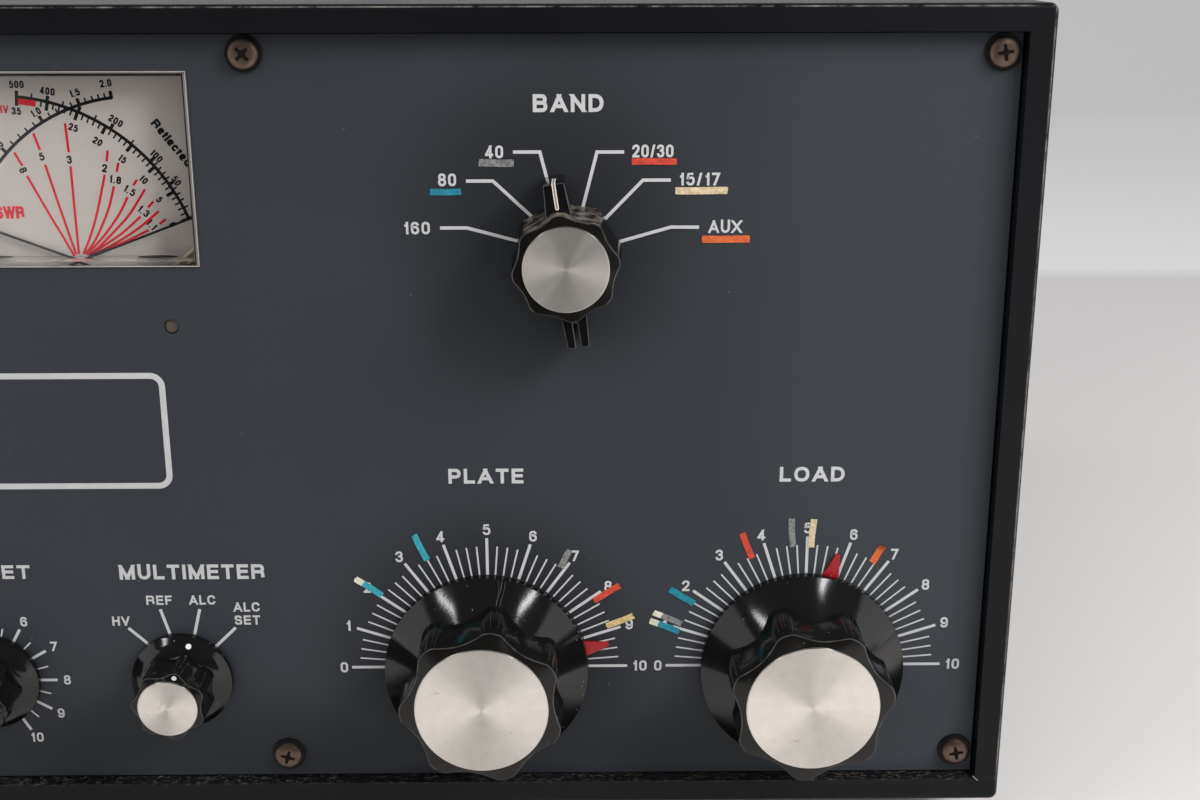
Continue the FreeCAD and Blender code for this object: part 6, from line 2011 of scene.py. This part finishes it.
    def current_scales(self, black: Print, ticks: Ticks, left: Point, right: Point) -> None:
        """Two plain current scales, one on each arc.

        Args:
            black: Black print.
            ticks: Tick marks.
            left: Left pivot on the panel.
            right: Right pivot on the panel.
        """
        r = self.radius
        for pivot, sign, top, step in ((left, 1, 400, 100), (right, -1, 1000, 200)):
            for k in range(21):
                angle = self.swing(k / 20)
                angle = angle if sign > 0 else 180 - angle
                major = k % 5 == 0 if sign > 0 else k % 4 == 0
                ticks.add(pivot, angle, r - 0.2, r + (1.75 if major else 1.3),
                    0.70 if major else 0.33)
            for value in range(0, top + 1, step):
                if value == 0 or value > top * 0.9:
                    continue
                angle = self.swing(value / top)
                angle = angle if sign > 0 else 180 - angle
                a = math.radians(angle)
                black.text(str(value), (pivot[0] + (r + 3.4) * math.cos(a),
                    pivot[1] + (r + 3.4) * math.sin(a)), self.cap, turn=angle - 90, weight=0.17)
        black.text("mA", self.at(0.0, 24.0), 2.4, weight=0.16)


@dataclass
class ZeroScrews:
    """Zero-adjusting screws seen through the small holes under the meters."""

    xs: tuple[float, ...] = (-144.8, -100.4, -73.9, -29.5)
    z: float = 127.8
    radius: float = 1.72
    rows: tuple[Point, ...] = ((1.0, -2.9), (1.0, -0.7), (0.9, -0.5), (0.5, -0.4), (0.42, -0.45),
        (0.1, -0.45))

    def build(self) -> None:
        """Make the four screws behind the panel."""
        brown = Finish("browned_brass", "#5A4D46", "#40362F", 0.55, 0.2, patch_mm=0.9,
            grain=Grain.CAST, grain_mm=0.4, relief=0.3)
        verts: list[Vector] = []
        faces: list[Face] = []
        count = 24
        for x in self.xs:
            start = len(verts)
            for share, h in self.rows:
                for i in range(count):
                    a = 2 * math.pi * i / count
                    verts.append(world(x + self.radius * share * math.cos(a),
                        self.z + self.radius * share * math.sin(a), h))
            faces += walls(start, len(self.rows), count)
            faces.append(tuple(range(len(verts) - count, len(verts))))
            faces.append(tuple(range(start + count - 1, start - 1, -1)))
        seat(mesh_object("meter_zero_screws", verts, faces, brown.build(), 40.0), CABINET)


# ---------------------------------------------------------------- whole object
NODE_FINISHES: dict[Coating, str] = {
    ENAMEL: "front_frame cabinet_cover bottom_pan rear_panel",
    PANEL: "front_panel",
    RUBBER: "rubber_feet",
    BRASS: "band_switch_shaft plate_drive_shaft load_drive_shaft multimeter_shaft alc_shaft "
        "ball_drives",
    CERAMIC: "band_switch_frame tube_socket",
    TAN_PHENOLIC: "multimeter_switch alc_control",
    RED_PAINT: "plate_pointer load_pointer",
    MILL_ALUMINIUM: "plate_capacitor_rotor load_capacitor_rotor plate_capacitor_frame "
        "load_capacitor_frame tube_deck anode_cooler",
    ABS_BLACK: "power_rocker standby_rocker fuse_holders",
    NYLON_BLACK: "rocker_frames fan_frame fan_rotor cord_gland",
    LAMP_RED: "panel_lamps",
    METER_BLACK: "meter_cases",
    ACRYLIC: "meter_windows",
    DIAL_ENAMEL: "meter_dials",
    BLACK_INK: "reflected_needle forward_needle grid_needle plate_needle",
    TUBE_GLASS: "power_tube",
    COPPER: "tank_coil",
    CORE_STEEL: "transformer_core",
    WINDING: "transformer_windings",
    FIBRE: "capacitor_board",
    CAN_SLEEVE: "filter_capacitors",
    RELAY_CASE: "antenna_relay",
    NICKEL: "coax_sockets phono_jacks ground_post",
}


def build_knobs() -> None:
    """Make all five knobs."""
    big = dict(skirt=26.0, lift=1.3, rim=3.6, cone_top=11.3, cone=17.6, lobe=(20.8, 20.4),
        valley=(18.1, 17.7), face=23.7, cap=16.3)
    small = dict(skirt=12.85, lift=0.9, rim=2.7, cone_top=5.6, cone=8.2, lobe=(9.5, 9.3),
        valley=(8.4, 8.1), face=16.9, cap=7.4, bevel=0.25, sag=-0.5)
    plate = FlutedKnob("plate_knob", "plate_tuning_knob", 44.5, 37.5, 9.0, **big)
    plate.build()
    for k, scratch in enumerate(((1.2, -3.0, 0.16), (-0.8, 1.0, 0.09), (3.0, -1.5, 0.1))):
        plate.scratch(f"plate_knob_scratch_{k}", *scratch)
    FlutedKnob("load_knob", "load_tuning_knob", 125.2, 37.5, -20.9, **big).build()
    for name, body, x, angle in (("multimeter_knob", "multimeter_selector", -33.5, 15.0),
                                 ("alc_knob", "alc_level", -82.9, -60.0)):
        knob = FlutedKnob(name, body, x, 35.0, angle, **small)
        knob.build()
        knob.dot(f"{name}_skirt_dot", 11.0, 4.35, 0.72, 36.0)
        knob.dot(f"{name}_face_dot", 8.35, 16.95, 0.62, 0.0)
    BandKnob("band_knob", "band_control", 65.8, 145.1, -8.3, skirt=0.0, lift=0.8, rim=0.8,
        cone_top=0.8, cone=0.0, lobe=(13.3, 12.6), valley=(12.2, 11.5), face=17.6, cap=10.0,
        lobes=8, crowning=0.12).build()


@dataclass(frozen=True)
class Softbox:
    """One flat light: where it stands, what it points at, its size and its power in watts."""

    name: str
    place: Triple
    aim: Triple
    size: tuple[float, float]
    power: float
    mirrored: bool = True         # whether mirrors show it

    def build(self) -> None:
        """Set the light up."""
        data = bpy.data.lights.new(self.name, "AREA")
        data.shape = "RECTANGLE"
        data.size, data.size_y = self.size
        data.energy = self.power
        lamp = bpy.data.objects.new(self.name, data)
        lamp.visible_glossy = self.mirrored
        lamp.location = self.place
        lamp.rotation_euler = (Vector(self.aim) - Vector(self.place)).to_track_quat("-Z",
            "Y").to_euler()
        bpy.context.scene.collection.objects.link(lamp)


LIGHTS = (
    Softbox("left_softbox", (-1.14, -1.0, 1.46), (0.0, -0.17, 0.1), (0.12, 0.42), 2.7),
    Softbox("right_lamp", (0.27, -0.37, 0.35), (0.08, -0.17, 0.08), (0.024, 0.07), 0.12),
    Softbox("right_fill", (0.62, -0.5, 0.62), (0.14, -0.17, 0.16), (0.3, 0.3), 5.6, False),
    Softbox("left_wall", (-1.5, -0.75, 0.45), (0.0, -0.17, 0.1), (1.1, 0.9), 2.7),
    Softbox("right_wall", (1.6, -0.75, 0.45), (0.0, -0.17, 0.1), (1.1, 0.9), 3.3),
)


@dataclass(frozen=True)
class TablePaper(Coating):
    """White table and wall; mirrors are shown other tones of it and a painted dark reflection in
    front.
    """

    name: str = "white_table_paper"
    table: str = "#BFBCB9"
    wall: str = "#D2D0CE"
    cove: str = "#B4B2B0"         # where the paper curves up
    # Painted shade: the darker tone that light bounced off the table takes, so the panel's lower
    # part gets less.
    bounce: str = "#666462"       # what it throws up at the panel
    mirror_near: str = "#D2CECA"  # table in mirrors, close to the object
    mirror_far: str = "#E6E4E2"   # and far in front of it
    figure: str = "#2C2B2B"       # painted reflection: a dark tone in front of the object, seen in mirrors only
    horizon: float = 0.55         # metres behind the middle: where the table meets the wall
    rise: float = 1.6             # and where the paper curves up

    def lay(self, tree: Tree, shader: Node, place: Socket) -> None:
        """Give camera, plain light and mirrors their own tone of the paper.

        Args:
            tree: The material's tree.
            shader: Its Principled shader.
            place: Object coordinates.
        """
        shader.inputs["Roughness"].default_value = 0.9
        depth = add_node(tree, "SeparateXYZ", {}, {0: place}).outputs["Y"]
        beyond = add_node(tree, "MapRange",
            {"From Min": self.horizon - 0.02, "From Max": self.horizon + 0.02}, {"Value": depth})
        seen = add_node(tree, "Mix", {6: linear(self.table), 7: linear(self.wall)}, {0: beyond},
            data_type="RGBA")
        rising = add_node(tree, "Math", {1: self.rise}, {0: depth}, operation="GREATER_THAN")
        seen = add_node(tree, "Mix", {7: linear(self.cove)}, {0: rising, 6: seen.outputs[2]},
            data_type="RGBA")
        near = add_node(tree, "MapRange", {"From Min": -1.6, "From Max": -0.35}, {"Value": depth})
        graded = add_node(tree, "Mix", {6: linear(self.mirror_far), 7: linear(self.mirror_near)},
            {0: near}, data_type="RGBA")
        # Painted reflection: mirrors see a dark wedge in front of the object.
        mirrored = add_node(tree, "Mix", {7: linear(self.figure)},
            {0: self.somebody(tree, place), 6: graded.outputs[2]}, data_type="RGBA")
        rays = add_node(tree, "LightPath").outputs
        # Painted shade: bounced light sees the darker tone.
        soft = add_node(tree, "Mix", {7: linear(self.bounce)},
            {0: rays["Is Diffuse Ray"], 6: seen.outputs[2]}, data_type="RGBA")
        tint = add_node(tree, "Mix", {},
            {0: rays["Is Glossy Ray"], 6: soft.outputs[2], 7: mirrored.outputs[2]},
            data_type="RGBA")
        feed(tree, shader, {"Base Color": tint.outputs[2]})

    @staticmethod
    def somebody(tree: Tree, place: Socket) -> Socket:
        """Mask of the painted dark reflection: a wedge of the table that widens away from the
        panel.

        Args:
            tree: The material's tree.
            place: Object coordinates.

        Returns:
            Socket with the mask.
        """
        parts = add_node(tree, "SeparateXYZ", {}, {0: place}).outputs
        off = add_node(tree, "Math", {1: 0.07}, {0: parts["X"]}, operation="SUBTRACT")
        away = add_node(tree, "Math", {0: -0.17}, {1: parts["Y"]}, operation="SUBTRACT")
        slope = add_node(tree, "Math", {}, {0: off, 1: away}, operation="DIVIDE")
        middle = add_node(tree, "Math", {1: 0.13}, {0: slope}, operation="ADD")
        across = add_node(tree, "Math", {}, {0: middle}, operation="ABSOLUTE")
        wide = add_node(tree, "MapRange",
            {"From Min": 0.26, "From Max": 0.38, "To Min": 1.0, "To Max": 0.0}, {"Value": across})
        front = add_node(tree, "MapRange",
            {"From Min": -0.48, "From Max": -0.37, "To Min": 1.0, "To Max": 0.0},
            {"Value": parts["Y"]})
        return add_node(tree, "Math", {}, {0: wide, 1: front}, operation="MULTIPLY").outputs[0]


def build_stage() -> None:
    """White table and backdrop, soft lights and the camera."""
    scene = bpy.context.scene
    scene.view_settings.view_transform = "Standard"
    half_width = 6.0
    bends = ((-4.0, 0.0), (1.6, 0.0), (2.4, 0.8), (2.4, 5.0))     # y and z of the paper's folds
    corners = [Vector((side * half_width, y, z)) for y, z in bends for side in (-1, 1)]
    sheets = [(k, k + 1, k + 3, k + 2) for k in (0, 2, 4)]
    mesh_object("floor", corners, sheets, TablePaper().build())
    studio = bpy.data.worlds.new("studio")
    scene.world = studio
    studio.use_nodes = True
    tree = studio.node_tree
    back = tree.nodes["Background"]
    back.inputs["Color"].default_value = linear("#E6E8EC")
    # The world is bright for plain light and dim for mirrors.
    mirrored = add_node(tree, "LightPath").outputs["Is Glossy Ray"]
    level = add_node(tree, "MapRange", {"To Min": 1.62, "To Max": 0.12}, {"Value": mirrored})
    feed(tree, back, {"Strength": level})
    for light in LIGHTS:
        light.build()
    data = bpy.data.cameras.new("camera")
    data.sensor_width, data.lens, data.clip_start = 36.0, 46.483, 0.01
    camera = bpy.data.objects.new("camera", data)
    camera.location = (0.070217, -0.536072, 0.229552)
    camera.rotation_euler = tuple(math.radians(a) for a in (73.4696, 0.0943, -0.5701))
    scene.collection.objects.link(camera)
    scene.camera = camera


def main() -> None:
    """Build the object's looks in order."""
    build_stage()
    for finish, nodes in NODE_FINISHES.items():
        for node in nodes.split():
            dress(node, finish.build())
            log.info("%s is dressed", node)
    build_knobs()
    PanelScrews().build()
    PanelPrint().build()
    for tape in TAPES:
        tape.build()
    MeterDial("right_meter", -51.7, Scale.POWER).build()
    MeterDial("left_meter", -122.6, Scale.CURRENT).build()
    ZeroScrews().build()
    mitre = Print("frame_mitre_mark", 4.03,
        Finish("bare_primer", "#9A928A", "#6E6862", 0.4, patch_mm=0.6))
    mitre.line((170.9, 7.15), (172.3, 5.8), 0.26)
    mitre.finish()


if __name__ == "__main__":
    logging.basicConfig(level=logging.INFO)
    main()
